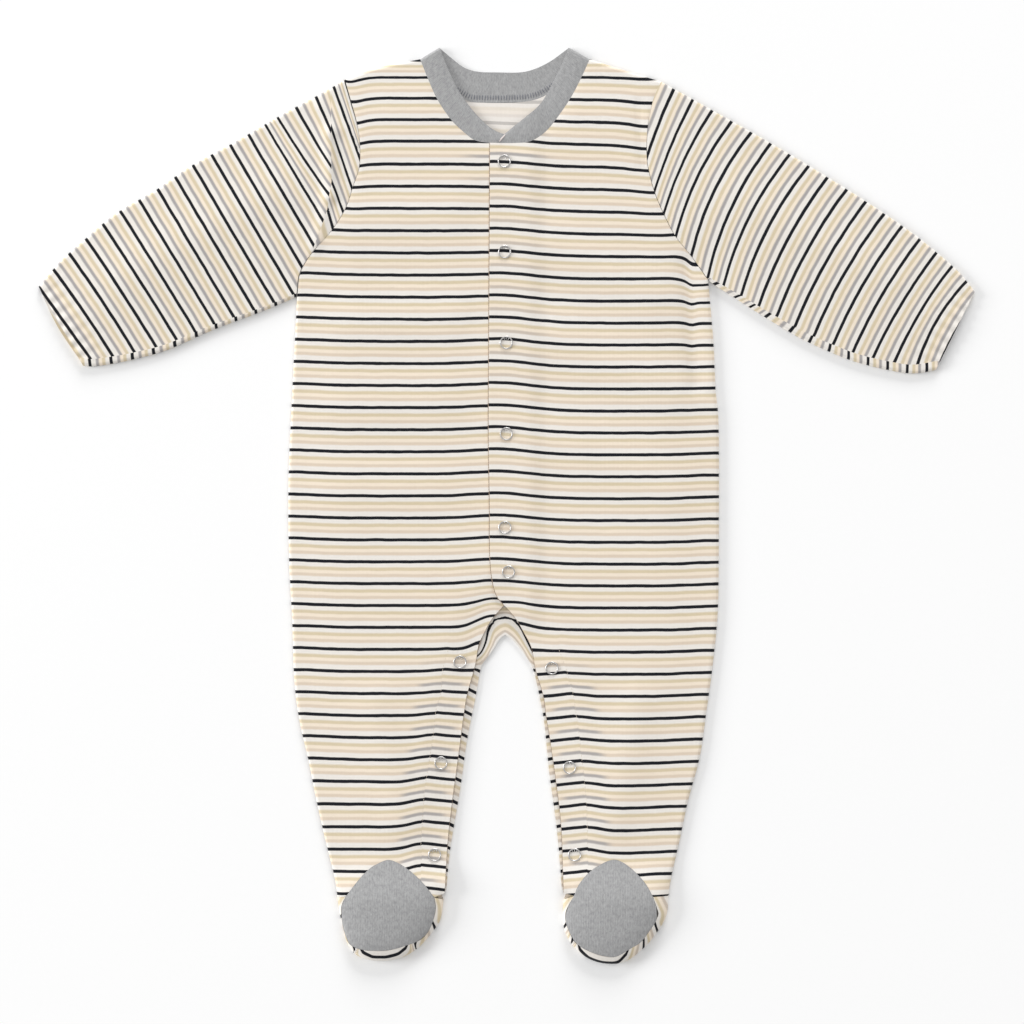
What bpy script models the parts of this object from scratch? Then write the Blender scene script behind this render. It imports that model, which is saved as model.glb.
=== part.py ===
"""Footed baby sleepsuit, laid flat on its back with its snaps fastened.

+X runs across the garment towards the wearer's left sleeve, +Y from the toes to the neck and +Z up
from the surface it lies on. The origin is on that surface, under the middle of the outline.
Right and left are the wearer's. Sizes and tables are in millimetres, and add() turns each finished
piece into metres. Every piece of cloth is a thin wall worked out from the garment's outline.
"""

import math

import bmesh
import bpy
import numpy as np
from mathutils import Matrix

MM = 0.001

# Cloth.
WALL = 1.0  # thickness of the jersey and of the rib
SEAM = 0.4  # clear gap along a seam
FLOOR = WALL / 2  # middle of a wall that lies on the surface
LAYER = WALL + 0.4  # rise from one layer to the one laid on it
ROLL = 1.5  # radius with which the cloth turns over at a folded edge
TURN = [0, 0.45, ROLL]  # distances from a folded edge at which its turn has points
TUCK = ROLL * 0.75  # how far the back stays inside a folded edge

# How far the upper layer stands off the lower one.
LOFT = 1.8  # over the chest, once LOFT_REACH from a folded edge and REST_REACH from a loose one
LOFT_REACH = 30
REST_REACH = 25
EDGE_REACH = 8  # folds and swells fade in over this distance from a folded edge,
LOOSE_REACH = 12  # and over this one from a loose edge,
LOOSE_SHARE = 0.2  # where this share of them is left
FOOT_RISE = 4.6  # more over the feet, whose dome is FOOT_REACH from edge to crown
FOOT_REACH = 20
ANKLE_Y = -226  # the foot starts to rise here, and is full FOOT_RUN nearer the toes
FOOT_RUN = 36

# Front opening: the left front lies over the right one as far as UNDERLAP_X.
UNDERLAP_X = 12
STEP_CLEAR = 4  # the left front runs level this far past the underlap,
STEP_RUN = 7  # and then steps down to the layer below
PLACKET_RUN = 16  # the opening is plain and flat, and folds fade in over this distance from it
CROTCH_Y = -66
CROTCH_RUN = 24

# Ends of seams, as shares of their length, which keep one piece clear of the next at a corner.
BACK_SHOULDER = (0.88, 0.06)
BACK_ARMHOLE = (0.03, 0.94)
BACK_SIDE = (0.02, 0.985)
BACK_NECK = (0.92, 0.08)
CAP_SIDE = 0.06  # share of the toe cap's lower seam that is its side
CAP_SIZE = 0.973  # the toe cap is this much of the space between its neighbours
SOLE_END = 0.007  # share of the sole's length left clear at each end
HEEL_Y = -253.4  # the sole's lower layer starts here, a seam away from the back
HEEL_SIZE = (0.985, 1.03)  # its x at the outer and inner ankle, as shares of the outline's

# Gathers of the cuffs: waves along the cuff's edge that die out up the sleeve.
GATHER_PITCH = 8.0
GATHER_HEIGHT = 0.4
GATHER_REACH = 10

# Snaps: open rings of round wire.
SNAP_DIAMETER = 9.2
SNAP_WIRE = 1.0

# Outline of the garment and its seams, seen from above. Each table has columns x, y.
SLEEVE_TOP = {  # folded edge, from the cuff to the shoulder point
    "right": [(-305.8, 143.3), (-292, 159.6), (-279, 171.4), (-255.6, 191), (-229, 206.7),
              (-206, 222.4), (-177.3, 238.1), (-150.5, 253.8), (-121.7, 269.4), (-105.6, 278.6)],
    "left": [(306, 140), (300.8, 147), (291.8, 156.6), (269.3, 175.3), (247.1, 191), (223, 206.7),
             (191, 226.3), (164.2, 242), (122.3, 265.5), (101, 277.3)],
}
SLEEVE_UNDER = {  # seamed edge, from the cuff to the underarm
    "right": [(-277, 92.2), (-270.5, 91.7), (-259.2, 93.3), (-246, 95.9), (-221.9, 102.5),
              (-192.5, 115.5), (-157.8, 128.6), (-137.4, 137.4)],
    "left": [(281, 89.5), (271, 87.5), (261, 87.4), (247, 90), (233.4, 93.3), (219.7, 97.9),
             (194.3, 109.2), (168.1, 124.7), (148.5, 137.2), (132.4, 147.4)],
}
ARMHOLE = {  # from the shoulder point to the underarm
    "right": [(-105.6, 278.6), (-101.6, 264.7), (-97.7, 250.3), (-95.8, 236.6), (-96, 222.2),
              (-100.3, 208.5), (-104.9, 194.8), (-113.4, 181), (-127.8, 164.4), (-135, 151.6),
              (-136.6, 137.8)],
    "left": [(101, 277.3), (95.8, 265.4), (92.3, 247.7), (91.6, 228.8), (93.5, 216.3),
             (97.1, 203.9), (102.9, 190.2), (110.1, 176.5), (121.2, 162.7), (131.5, 148)],
}
SHOULDER = {  # folded edge, from the shoulder point to the neck
    "right": [(-105.6, 278.6), (-88, 285.2), (-72.2, 289), (-56.3, 292)],
    "left": [(101, 277.3), (87.3, 281.5), (75.5, 285.1), (54.2, 292)],
}
SIDE = {  # folded edge, from the underarm to the outer ankle
    "right": [(-136.6, 137.8), (-137.7, 115), (-139.7, 75.8), (-142.2, 17), (-141.8, -35.3),
              (-139.8, -74.5), (-138.4, -113.7), (-135.1, -139.9), (-129.2, -166),
              (-124, -192.2), (-118.1, -218.3), (-111.7, -244.4), (-110.3, -255.4)],
    "left": [(131.5, 148), (133.2, 128.1), (135.1, 105.2), (136.4, 75.8), (138.4, 49.7),
             (138.4, -35.3), (137.7, -71.2), (134.5, -103.9), (130.5, -133.3), (126, -164.1),
             (118.5, -192.2), (112.9, -218.3), (107, -244.4), (105.7, -254.5)],
}
TOE = {  # folded edge, from the outer ankle round the toes to the inner ankle
    "right": [(-110.3, -255.4), (-108.3, -267.7), (-105.1, -281.9), (-101.5, -289.7),
              (-96.6, -294.1), (-89.3, -296.6), (-79.4, -297.2), (-69.5, -295.3), (-62.1, -291.6),
              (-55.9, -286.7), (-48.5, -278), (-43.5, -270), (-41.3, -256.9)],
    "left": [(105.7, -254.5), (104.4, -267), (99, -277.4), (91.5, -286.7), (84.1, -293.5),
             (76.8, -297.9), (69.4, -299.1), (59.6, -297.9), (50.3, -293.5), (42.4, -285.5),
             (38, -275.7), (37.4, -265.2), (37.7, -256.9)],
}
INSEAM = {  # loose edge of the front leg, from the crotch to the inner ankle
    "right": [(-1.6, -64.7), (-10, -74.5), (-14.5, -82.7), (-18.3, -90.9), (-20.5, -104),
              (-25.4, -121.6), (-27.9, -135.6), (-31.7, -164.7), (-35.5, -192.8),
              (-38.6, -220.9), (-40.4, -252.6)],
    "left": [(-1.6, -64.7), (2.7, -69.3), (7.3, -75.2), (11, -82), (14.7, -88.7), (17, -94.8),
             (19.2, -107.2), (24.4, -124.8), (26.1, -137.9), (28.6, -152.9), (32.7, -181.7),
             (35.9, -210.5), (37.4, -252.6)],
}
BACK_INSEAM = {  # loose edge of the back leg, from the crotch to the inner ankle
    "right": [(-1, -84.2), (-4.8, -87.2), (-7.8, -92.4), (-11.5, -97.7), (-15.6, -102.9),
              (-17.5, -109), (-20.6, -126.8), (-25.8, -152.9), (-30.4, -185.6), (-36.9, -224.8),
              (-39.4, -251.4)],
    "left": [(-1, -84.2), (3.5, -87.2), (8.8, -93.2), (14.8, -101.4), (17.4, -106.7),
             (19.3, -113.7), (24.5, -139.9), (27.8, -172.6), (33, -211.8), (36.3, -251.4)],
}
TOE_CAP_UPPER = {  # the toe cap's seam to the leg, from the outer side to the inner one
    "right": [(-105, -255), (-98.4, -246.4), (-92, -239.2), (-86.5, -235), (-78.1, -231.3),
              (-71.9, -232.7), (-65.7, -236.4), (-59.3, -241.4), (-52.5, -248.4),
              (-47.2, -255.5)],
    "left": [(95.6, -255), (90.7, -246.4), (83.2, -238.3), (75.7, -232.7), (69.4, -231.1),
             (60.7, -234.6), (53.1, -240.2), (46.9, -247.7), (44.2, -254.5)],
}
TOE_CAP_LOWER = {  # the toe cap's seam to the sole, from the outer side to the inner one
    "right": [(-105, -255), (-106, -262), (-105.3, -271), (-102.6, -281), (-99.7, -286.6),
              (-94.8, -289.6), (-86.9, -291), (-78.1, -290), (-68.8, -287.6), (-61.9, -284.6),
              (-55.6, -280.6), (-50.2, -274.3), (-47.3, -268), (-46.3, -261.5),
              (-47.2, -255.5)],
    "left": [(95.6, -255), (98.4, -263), (98.2, -269.5), (94.3, -277.1), (87.2, -284.4),
             (76.9, -291.6), (69.4, -294.2), (56.9, -291), (48.4, -287.2), (43.4, -280.5),
             (41.3, -272), (41.4, -264.5), (44.2, -254.5)],
}
NECK_SEAM = {  # the front's seam to the neckband, from the shoulder to the front opening
    "right": [(-56.3, 292), (-51.7, 280.4), (-45.3, 266.1), (-36.1, 252.4), (-26.5, 243.3),
              (-20.1, 239), (-10, 237.4), (5.6, 237.3)],
    "left": [(54.2, 292), (48.7, 279.9), (41.4, 266.1), (31.7, 252), (24.8, 244.2),
             (15.7, 238.4), (6.2, 237.3), (-6.2, 237.3)],
}
NECK_EDGE = {  # the neckband's free edge over the front, in the same order
    "right": [(-43.7, 299.6), (-39.3, 288.2), (-32.9, 274.4), (-26.5, 264.3), (-18.2, 254.3),
              (-10, 246.9), (-1.8, 243.2), (5.6, 242.8)],
    "left": [(40.5, 299.6), (35.9, 288.2), (27.6, 273.5), (20.7, 263.4), (10.1, 252.4),
             (2.8, 246.9), (-1, 242)],
}
BACK_NECK_SEAM = [(-56.3, 292), (-48.7, 281), (-39.5, 273.9), (-25.6, 265.2), (-14.6, 263.9),
                  (-3.6, 263.7), (8.4, 264.3), (22.1, 267.1), (35.6, 275.2), (46.1, 283),
                  (54.2, 292)]
BACK_NECK_EDGE = [(-43.7, 299.6), (-35.7, 292.8), (-27.5, 286.8), (-18.2, 284.1), (-5.4, 283.7),
                  (8.4, 283.7), (18.4, 285.9), (29.4, 291.4), (40.5, 299.6)]
OPENING = [(-10.8, 237.3), (-11.4, 115), (-11.8, 49.7), (-11.8, -22.2), (-10.6, -41.2),
           (-7.2, -56.9), (-1.6, -64.7)]  # edge of the left front, from the neck to the crotch
UNDERLAP = [(UNDERLAP_X, 237.3), (UNDERLAP_X, 110), (UNDERLAP_X, -28), (8, -50), (-1.6, -64.7)]

# Soft folds and swells of the upper layer. Columns: from x, from y, to x, to y, width, height.
FOLDS = [
    (-125, 266, -115.5, 244, 6, 1.0),  # pleat beside the right armhole
    (-115.5, 244, -116, 202, 6, 1.5),
    (-116, 202, -125, 170, 6, 0.9),
    (119, 158, 124, 80, 8, -0.9),  # long dip down the left side of the chest
    (-95, 186, -40, 190, 26, 0.8),  # swells of the right front between the snaps
    (-105, 118, -40, 122, 24, 0.8),
    (-110, 66, -45, 68, 24, 0.7),
    (-112, 8, -50, 10, 26, 0.6),
    (30, 170, 95, 138, 24, 0.8),  # swells of the left front, which run down to the side
    (34, 110, 104, 72, 24, 0.8),
    (34, 44, 108, 8, 26, 0.6),
    (-86, -130, -70, -205, 18, 0.9),  # one swell down each leg
    (84, -130, 70, -205, 18, 0.9),
    (-250, 150, -150, 205, 22, 0.8),  # and one along each sleeve
    (252, 148, 150, 200, 22, 0.8),
]

SNAPS = {  # name: columns x, y for each snap
    "front": [(-1.4, 225.2), (-1.2, 166), (-0.1, 106.7), (-0.1, 47.2), (-1, -14), (1.3, -43.1)],
    "leg_right": [(-30.4, -102), (-42.8, -168), (-47, -228)],
    "leg_left": [(29.7, -105.9), (41.2, -171), (44.5, -228)],
}


class Line:
    """A curve in plan, smooth along each stretch of points and with a corner between stretches."""

    STEPS = 6  # points worked out on each span

    def __init__(self, *stretches):
        points = [stretches[0][0]]
        for stretch in stretches:
            inner = np.array(stretch)
            spans = np.array([2 * inner[0] - inner[1], *inner, 2 * inner[-1] - inner[-2]])
            for before, start, end, after in zip(spans, spans[1:], spans[2:], spans[3:]):
                for step in range(1, self.STEPS + 1):
                    t = step / self.STEPS
                    points.append(
                        start * (1 - 3 * t**2 + 2 * t**3)
                        + end * (3 * t**2 - 2 * t**3)
                        + (end - before) / 2 * (t - 2 * t**2 + t**3)
                        + (after - start) / 2 * (t**3 - t**2)
                    )
        self.points = np.array(points, dtype=float)
        steps = np.linalg.norm(np.diff(self.points, axis=0), axis=1)
        self.length = steps.sum()
        self.shares = np.concatenate([[0], np.cumsum(steps)]) / self.length

    def at(self, share):
        """The point at a share of the length, from 0 to 1, or an array of them."""
        x, y = (np.interp(share, self.shares, self.points[:, axis]) for axis in (0, 1))
        return np.stack([x, y], axis=-1)

    def inset(self, distance, shares):
        """Points at some shares, moved to the left of the way the line runs."""
        ahead = self.at(np.minimum(shares + 0.004, 1)) - self.at(np.maximum(shares - 0.004, 0))
        ahead /= np.linalg.norm(ahead, axis=1, keepdims=True)
        return self.at(shares) + distance * np.stack([-ahead[:, 1], ahead[:, 0]], axis=1)


def ease(t):
    """Rises smoothly from 0 to 1 as t does."""
    t = np.clip(t, 0, 1)
    return t * t * (3 - 2 * t)


def distance(points, starts, ends):
    """From each point to the nearest of some straight segments."""
    along = ends - starts
    squared = np.maximum((along**2).sum(axis=1), 1e-9)
    away = points[:, None, :] - starts
    share = np.clip((away * along).sum(axis=2) / squared, 0, 1)
    return np.linalg.norm(away - share[..., None] * along, axis=2).min(axis=1)


def segments(lines):
    """The starts and ends of the segments of some lines."""
    starts = np.concatenate([line.points[:-1] for line in lines])
    ends = np.concatenate([line.points[1:] for line in lines])
    return starts, ends


def folded_edges():
    """Where the upper layer turns down to the lower one, all round the garment."""
    lines = []
    for side in ("right", "left"):
        corner = [NECK_SEAM[side][0], NECK_EDGE[side][0]]
        lines.append(Line(SLEEVE_TOP[side], SHOULDER[side], corner))
        lines.append(Line(SLEEVE_UNDER[side], SIDE[side], TOE[side]))
    return segments(lines)


def loose_edges():
    """Where the upper layer ends and rests on the lower one: down the legs and round the neck."""
    return segments([Line(table[side]) for table in (INSEAM, NECK_EDGE) for side in table])


FOLDED = folded_edges()
LOOSE = loose_edges()


def gathers(points):
    """Waves along each cuff."""
    height = np.zeros(len(points))
    for side in ("right", "left"):
        top, bottom = np.array(SLEEVE_TOP[side][0]), np.array(SLEEVE_UNDER[side][0])
        along = (bottom - top) / np.linalg.norm(bottom - top)
        up_sleeve = np.array([-along[1], along[0]]) * (1 if side == "right" else -1)
        away = (points - top) @ up_sleeve
        wave = np.sin(2 * math.pi * (points - top) @ along / GATHER_PITCH)
        height += GATHER_HEIGHT * wave * np.exp(-np.abs(away) / GATHER_REACH)
    return height


def upper_layer(points):
    """Height of the middle of the upper layer at some points in plan."""
    points = np.asarray(points, dtype=float)
    from_fold = distance(points, *FOLDED)
    from_loose = distance(points, *LOOSE)
    turn = np.minimum(from_fold, ROLL)
    height = FLOOR + np.sqrt(ROLL**2 - (ROLL - turn) ** 2)
    stand_off = ease(from_fold / LOFT_REACH) * ease(from_loose / REST_REACH)
    height += LOFT * stand_off
    dome = 1 - (1 - np.minimum(from_fold / FOOT_REACH, 1)) ** 2
    height += FOOT_RISE * np.sqrt(dome) * ease((ANKLE_Y - points[:, 1]) / FOOT_RUN)
    relief = gathers(points)
    for x0, y0, x1, y1, width, rise in FOLDS:
        away = distance(points, np.array([[x0, y0]]), np.array([[x1, y1]]))
        relief += rise * np.exp(-((away / width) ** 2) * 2)
    relief *= ease((np.abs(points[:, 0]) - UNDERLAP_X) / PLACKET_RUN)
    near_loose = ease(from_loose / LOOSE_REACH + LOOSE_SHARE)
    return height + relief * ease(from_fold / EDGE_REACH) * near_loose


def over_layer(points):
    """The same for a piece that lies over the underlap of the front opening."""
    points = np.asarray(points, dtype=float)
    across = 1 - ease((points[:, 0] - UNDERLAP_X - STEP_CLEAR) / STEP_RUN)
    down = 1 - ease((CROTCH_Y - points[:, 1]) / CROTCH_RUN)
    return upper_layer(points) + LAYER * across * down


def lower_layer(points):
    """The height of what lies on the surface."""
    return np.full(len(points), FLOOR)


def spread(length, count, start, end):
    """Distances along a length: those in start, count even ones, and those in end, from its end."""
    middle = np.linspace(start[-1], length - end[-1], count)
    return np.concatenate([start[:-1], middle, length - np.array(end[:-1], dtype=float)[::-1]])


def patch(left, right, rows, columns, top=None, bottom=None, top_run=1, bottom_run=1):
    """Plan points of a piece, row by row from its top edge to its bottom one.

    left and right are Lines down its sides, and rows are distances down the left one. columns is
    (count, start, end) for spread(). top and bottom, if its other edges aren't straight, are Lines
    from left to right, whose shape fades out away from them: the larger the run, the sooner.
    """
    result = []
    for v in np.array(rows) / left.length:
        start, end = left.at(v), right.at(v)
        u = (spread(np.linalg.norm(end - start), *columns) / np.linalg.norm(end - start))[:, None]
        row = start + (end - start) * u
        if top:
            row += (1 - v) ** top_run * (top.at(u[:, 0]) - top.at(0) * (1 - u) - top.at(1) * u)
        if bottom:
            row += v**bottom_run * (bottom.at(u[:, 0]) - bottom.at(0) * (1 - u) - bottom.at(1) * u)
        result.append(row)
    return np.array(result)


def raised(plan, height):
    """Adds the height of each plan point, from a function such as upper_layer."""
    rows, columns = plan.shape[:2]
    return np.concatenate([plan, height(plan.reshape(-1, 2)).reshape(rows, columns, 1)], axis=2)


def material(name, colour, roughness, metallic=0.0):
    made = bpy.data.materials.new(name)
    made.use_nodes = True
    shader = made.node_tree.nodes["Principled BSDF"]
    shader.inputs["Base Color"].default_value = (*colour, 1)
    shader.inputs["Roughness"].default_value = roughness
    shader.inputs["Metallic"].default_value = metallic
    made.diffuse_color = (*colour, 1)
    return made


def add(name, mesh_builder, surface):
    """Makes an object from a bmesh, in metres."""
    bmesh.ops.scale(mesh_builder, vec=(MM, MM, MM), verts=mesh_builder.verts)
    mesh = bpy.data.meshes.new(name)
    mesh_builder.to_mesh(mesh)
    mesh_builder.free()
    mesh.materials.append(surface)
    made = bpy.data.objects.new(name, mesh)
    bpy.context.scene.collection.objects.link(made)
    return made


def cloth(name, grid, surface, closed=False):
    """A wall round a grid of middle points, given as rows; closed joins each row's ends."""
    rows, columns = grid.shape[:2]
    bm = bmesh.new()
    bmesh.ops.create_grid(bm, x_segments=columns - 1, y_segments=rows - 1)
    for vertex, point in zip(bm.verts, grid.reshape(-1, 3)):
        vertex.co = point
    if closed:
        bmesh.ops.remove_doubles(bm, verts=bm.verts, dist=0.001)
    made = add(name, bm, surface)
    made.data.shade_smooth()
    wall = made.modifiers.new("Wall", "SOLIDIFY")
    wall.thickness = WALL * MM
    wall.offset = 0


def slab(name, outline, surface):
    """A wall that lies flat on the surface, given its outline."""
    bm = bmesh.new()
    face = bm.faces.new([bm.verts.new((x, y, 0)) for x, y in outline])
    bmesh.ops.recalc_face_normals(bm, faces=[face])
    raised_part = bmesh.ops.extrude_face_region(bm, geom=[face])["geom"]
    top = [item for item in raised_part if isinstance(item, bmesh.types.BMVert)]
    bmesh.ops.translate(bm, vec=(0, 0, WALL), verts=top)
    bmesh.ops.recalc_face_normals(bm, faces=bm.faces)
    add(name, bm, surface)


def make_back(surface):
    """Back and both back legs: one flat piece, tucked inside the folded edges."""
    outline = []
    for side, turn in (("right", 1), ("left", -1)):
        shoulder, armhole = Line(SHOULDER[side]), Line(ARMHOLE[side])
        outer, inner = Line(SIDE[side]), Line(BACK_INSEAM[side])
        half = [
            *shoulder.inset(-TUCK * turn, np.linspace(*BACK_SHOULDER, 5)),
            *armhole.inset(SEAM * turn, np.linspace(*BACK_ARMHOLE, 22)),
            *outer.inset(TUCK * turn, np.linspace(*BACK_SIDE, 22)),
            *inner.at(np.linspace(1, 0, 20)),
        ]
        outline += half if side == "right" else half[::-1][1:]
    neck = Line(BACK_NECK_SEAM).inset(-SEAM, np.linspace(*BACK_NECK, 17))
    return slab("back", [*outline, *neck], surface)


def make_fronts(surface):
    """The right front with its underlap, and the left front, which lies over it."""
    for side, height in (("right", upper_layer), ("left", over_layer)):
        outer = Line(ARMHOLE[side], SIDE[side])
        underarm = Line(ARMHOLE[side]).length
        by_armhole = spread(underarm, 18, TURN, [0, 2.5])
        below = underarm + spread(outer.length - underarm, 16, [2.5], [0, 7, 14, 21, 29])
        neck_end = UNDERLAP[0] if side == "right" else OPENING[0]
        opening = UNDERLAP if side == "right" else OPENING
        plan = patch(
            left=outer,
            right=Line(opening, INSEAM[side]),
            rows=[*by_armhole, *below],
            columns=(11, TURN, [0, 9, 18, 27, 34]),
            top=Line(SHOULDER[side], [*NECK_SEAM[side][:-1], neck_end]),
            bottom=Line([SIDE[side][-1], TOE_CAP_UPPER[side][0]], TOE_CAP_UPPER[side],
                        [TOE_CAP_UPPER[side][-1], INSEAM[side][-1]]),
            top_run=4,
            bottom_run=9,
        )
        cloth(f"front_{side}", raised(plan, height), surface)


def make_sleeve(side, surface):
    """An open tube laid flat: the upper layer, and the lower one on the surface."""
    over_arm = Line(SLEEVE_TOP[side][::-1])
    plan = patch(
        left=over_arm,
        right=Line(SLEEVE_UNDER[side][::-1]),
        rows=spread(over_arm.length, 14, [SEAM * 1.5], [0, 3, 7]),
        columns=(26, TURN, TURN),
        top=Line(ARMHOLE[side]),
        top_run=3,
    )
    upper = raised(plan, upper_layer)
    under = raised(plan[:, ::-2], lower_layer)
    under[:, 0, :2], under[:, -1, :2] = plan[:, -1], plan[:, 0]
    ring = np.concatenate([upper, under[:, 1:]], axis=1)
    cloth(f"sleeve_{side}", ring, surface, closed=True)


def make_neckband(surface):
    """One strip: up the right front, round the back of the neck and down over the left front."""
    columns = (4, [SEAM * 2.2], [0])
    fronts = {}
    for side, height in (("right", upper_layer), ("left", over_layer)):
        seam = Line(NECK_SEAM[side])
        plan = patch(seam, Line(NECK_EDGE[side]), spread(seam.length, 18, TURN, [0]), columns)
        fronts[side] = raised(plan, height)
    seam = Line(BACK_NECK_SEAM)
    rows = spread(seam.length, 19, [0, ROLL], [0, ROLL])
    behind = raised(patch(seam, Line(BACK_NECK_EDGE), rows, columns), lower_layer)
    behind[0], behind[-1] = fronts["right"][0], fronts["left"][0]
    strip = np.concatenate([fronts["right"][:0:-1], behind, fronts["left"][1:]])
    cloth("neckband", strip, surface)


def make_foot(side, cap_surface, sole_surface):
    """The toe cap, a low dome, and the sole, whose edge turns up round it."""
    rim = Line(TOE_CAP_LOWER[side])
    outer_side = Line([rim.at(0), rim.at(CAP_SIDE)])
    cap = patch(
        left=outer_side,
        right=Line([rim.at(1), rim.at(1 - CAP_SIDE)]),
        rows=np.linspace(0, outer_side.length, 11),
        columns=(15, [SEAM], [SEAM]),
        top=Line(TOE_CAP_UPPER[side]),
        bottom=Line([rim.at(share) for share in np.linspace(CAP_SIDE, 1 - CAP_SIDE, 12)]),
    )
    middle = cap.reshape(-1, 2).mean(axis=0)
    cap = middle + (cap - middle) * CAP_SIZE
    cloth(f"toe_cap_{side}", raised(cap, upper_layer), cap_surface)

    edge = Line(TOE[side])
    around = spread(1, 25, [SOLE_END], [SOLE_END])
    heel = Line([(edge.at(end)[0] * size, HEEL_Y) for end, size in enumerate(HEEL_SIZE)])
    turned_up, flat = [], []
    for share in around:
        seam, fold = rim.at(share), edge.at(share)
        width = np.linalg.norm(fold - seam)
        inward = spread(width, 3, [0], TURN) / width
        turned_up.append(seam + (fold - seam) * inward[:, None])
        flat.append(fold + (heel.at(share) - fold) * np.array([[0.5], [1]]))
    grid = np.concatenate(
        [raised(np.array(turned_up), upper_layer), raised(np.array(flat), lower_layer)], axis=1
    )
    cloth(f"sole_{side}", grid, sole_surface)


def make_snap(name, x, y, height, surface):
    """A ring of wire that follows the cloth under it."""
    around, section = 14, 6
    bm = bmesh.new()
    bmesh.ops.create_circle(bm, segments=section, radius=SNAP_WIRE / 2)
    bmesh.ops.rotate(bm, verts=bm.verts, matrix=Matrix.Rotation(math.pi / 2, 3, "X"))
    bmesh.ops.translate(bm, vec=((SNAP_DIAMETER - SNAP_WIRE) / 2, 0, 0), verts=bm.verts)
    bmesh.ops.spin(
        bm, geom=bm.edges[:] + bm.verts[:], axis=(0, 0, 1), angle=2 * math.pi, steps=around,
        use_merge=True,
    )
    bmesh.ops.recalc_face_normals(bm, faces=bm.faces)
    clear = WALL / 2 + 0.3 + SNAP_WIRE / 2
    under = height([(x + v.co.x, y + v.co.y) for v in bm.verts])
    for vertex, cloth_height in zip(bm.verts, under):
        vertex.co = (x + vertex.co.x, y + vertex.co.y, cloth_height + clear + vertex.co.z)
    made = add(name, bm, surface)
    made.data.shade_smooth()


def build():
    for old in list(bpy.data.objects):
        bpy.data.objects.remove(old)
    jersey = material("striped jersey", (0.78, 0.72, 0.62), 0.9)
    rib = material("grey rib", (0.39, 0.39, 0.40), 0.9)
    metal = material("snap metal", (0.72, 0.71, 0.70), 0.3, 1.0)

    make_back(jersey)
    make_fronts(jersey)
    make_neckband(rib)
    for side in ("right", "left"):
        make_sleeve(side, jersey)
        make_foot(side, rib, jersey)
    for place, rows in SNAPS.items():
        height = upper_layer if place == "leg_right" else over_layer
        for number, (x, y) in enumerate(rows, 1):
            make_snap(f"snap_{place}_{number}", x, y, height, metal)


build()
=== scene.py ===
"""Footed baby sleepsuit in striped jersey, laid flat on its back with its snaps fastened.

+X runs across the garment towards the wearer's left sleeve, +Y from the toes to the neck and +Z up
from the surface. Right and left are the wearer's. Sizes and tables are in millimetres, and add()
turns each finished piece into metres.
"""

import math

import bmesh
import bpy
import numpy as np
from mathutils import Matrix


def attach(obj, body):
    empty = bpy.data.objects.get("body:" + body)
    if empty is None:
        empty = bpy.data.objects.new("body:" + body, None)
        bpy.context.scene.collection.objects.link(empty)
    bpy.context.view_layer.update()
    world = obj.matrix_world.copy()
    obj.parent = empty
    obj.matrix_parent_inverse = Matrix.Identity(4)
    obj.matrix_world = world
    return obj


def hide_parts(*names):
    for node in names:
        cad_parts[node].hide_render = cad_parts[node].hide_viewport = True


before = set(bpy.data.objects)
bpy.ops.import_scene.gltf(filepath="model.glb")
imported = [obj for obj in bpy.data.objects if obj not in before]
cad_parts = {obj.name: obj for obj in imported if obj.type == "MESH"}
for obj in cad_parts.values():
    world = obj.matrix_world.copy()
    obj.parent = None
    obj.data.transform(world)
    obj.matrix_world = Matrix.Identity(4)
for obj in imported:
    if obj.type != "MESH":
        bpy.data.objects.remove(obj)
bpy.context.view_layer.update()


# Back: the back and both back legs, cut in one piece from fine cotton jersey, knitted in stripes
# of navy, white, beige and grey. It lies face down, flat on the surface, so its inside shows in
# the neck, and its edge shows beside the inner legs and round the crotch.

MM = 0.001
WALL = 1.0  # thickness of the jersey
FLOOR = WALL / 2  # middle of a wall that lies on the surface
SEAM = 0.01  # clear gap along a seam
ROLL = 1.5  # radius with which the cloth turns over at a folded edge
WELD = 0.02  # points of two panels this near each other become one
REPEAT = 14.4  # from one navy stripe to the next

ARMHOLE = {  # from the shoulder point to the underarm
    "right": [(-105.6, 278.6), (-101.6, 264.7), (-97.7, 250.3), (-95.8, 236.6), (-96, 222.2),
              (-100.3, 208.5), (-104.9, 194.8), (-113.4, 181), (-127.8, 164.4), (-135, 151.6),
              (-136.6, 137.8)],
    "left": [(101, 277.3), (95.8, 265.4), (92.3, 247.7), (91.6, 228.8), (93.5, 216.3),
             (97.1, 203.9), (102.9, 190.2), (110.1, 176.5), (121.2, 162.7), (131.5, 148)],
}
SHOULDER = {  # folded edge, from the shoulder point to the neck
    "right": [(-105.6, 278.6), (-88, 285.2), (-72.2, 289), (-56.3, 292)],
    "left": [(101, 277.3), (87.3, 281.5), (75.5, 285.1), (54.2, 292)],
}
SIDE = {  # folded edge, from the underarm to the outer ankle
    "right": [(-136.6, 137.8), (-137.7, 115), (-139.7, 75.8), (-142.2, 17), (-141.8, -35.3),
              (-139.8, -74.5), (-138.4, -113.7), (-135.1, -139.9), (-129.2, -166),
              (-124, -192.2), (-118.1, -218.3), (-111.7, -244.4), (-110.3, -255.4)],
    "left": [(131.5, 148), (133.2, 128.1), (135.1, 105.2), (136.4, 75.8), (138.4, 49.7),
             (138.4, -35.3), (137.7, -71.2), (134.5, -103.9), (130.5, -133.3), (126, -164.1),
             (118.5, -192.2), (112.9, -218.3), (107, -244.4), (105.7, -254.5)],
}
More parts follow.
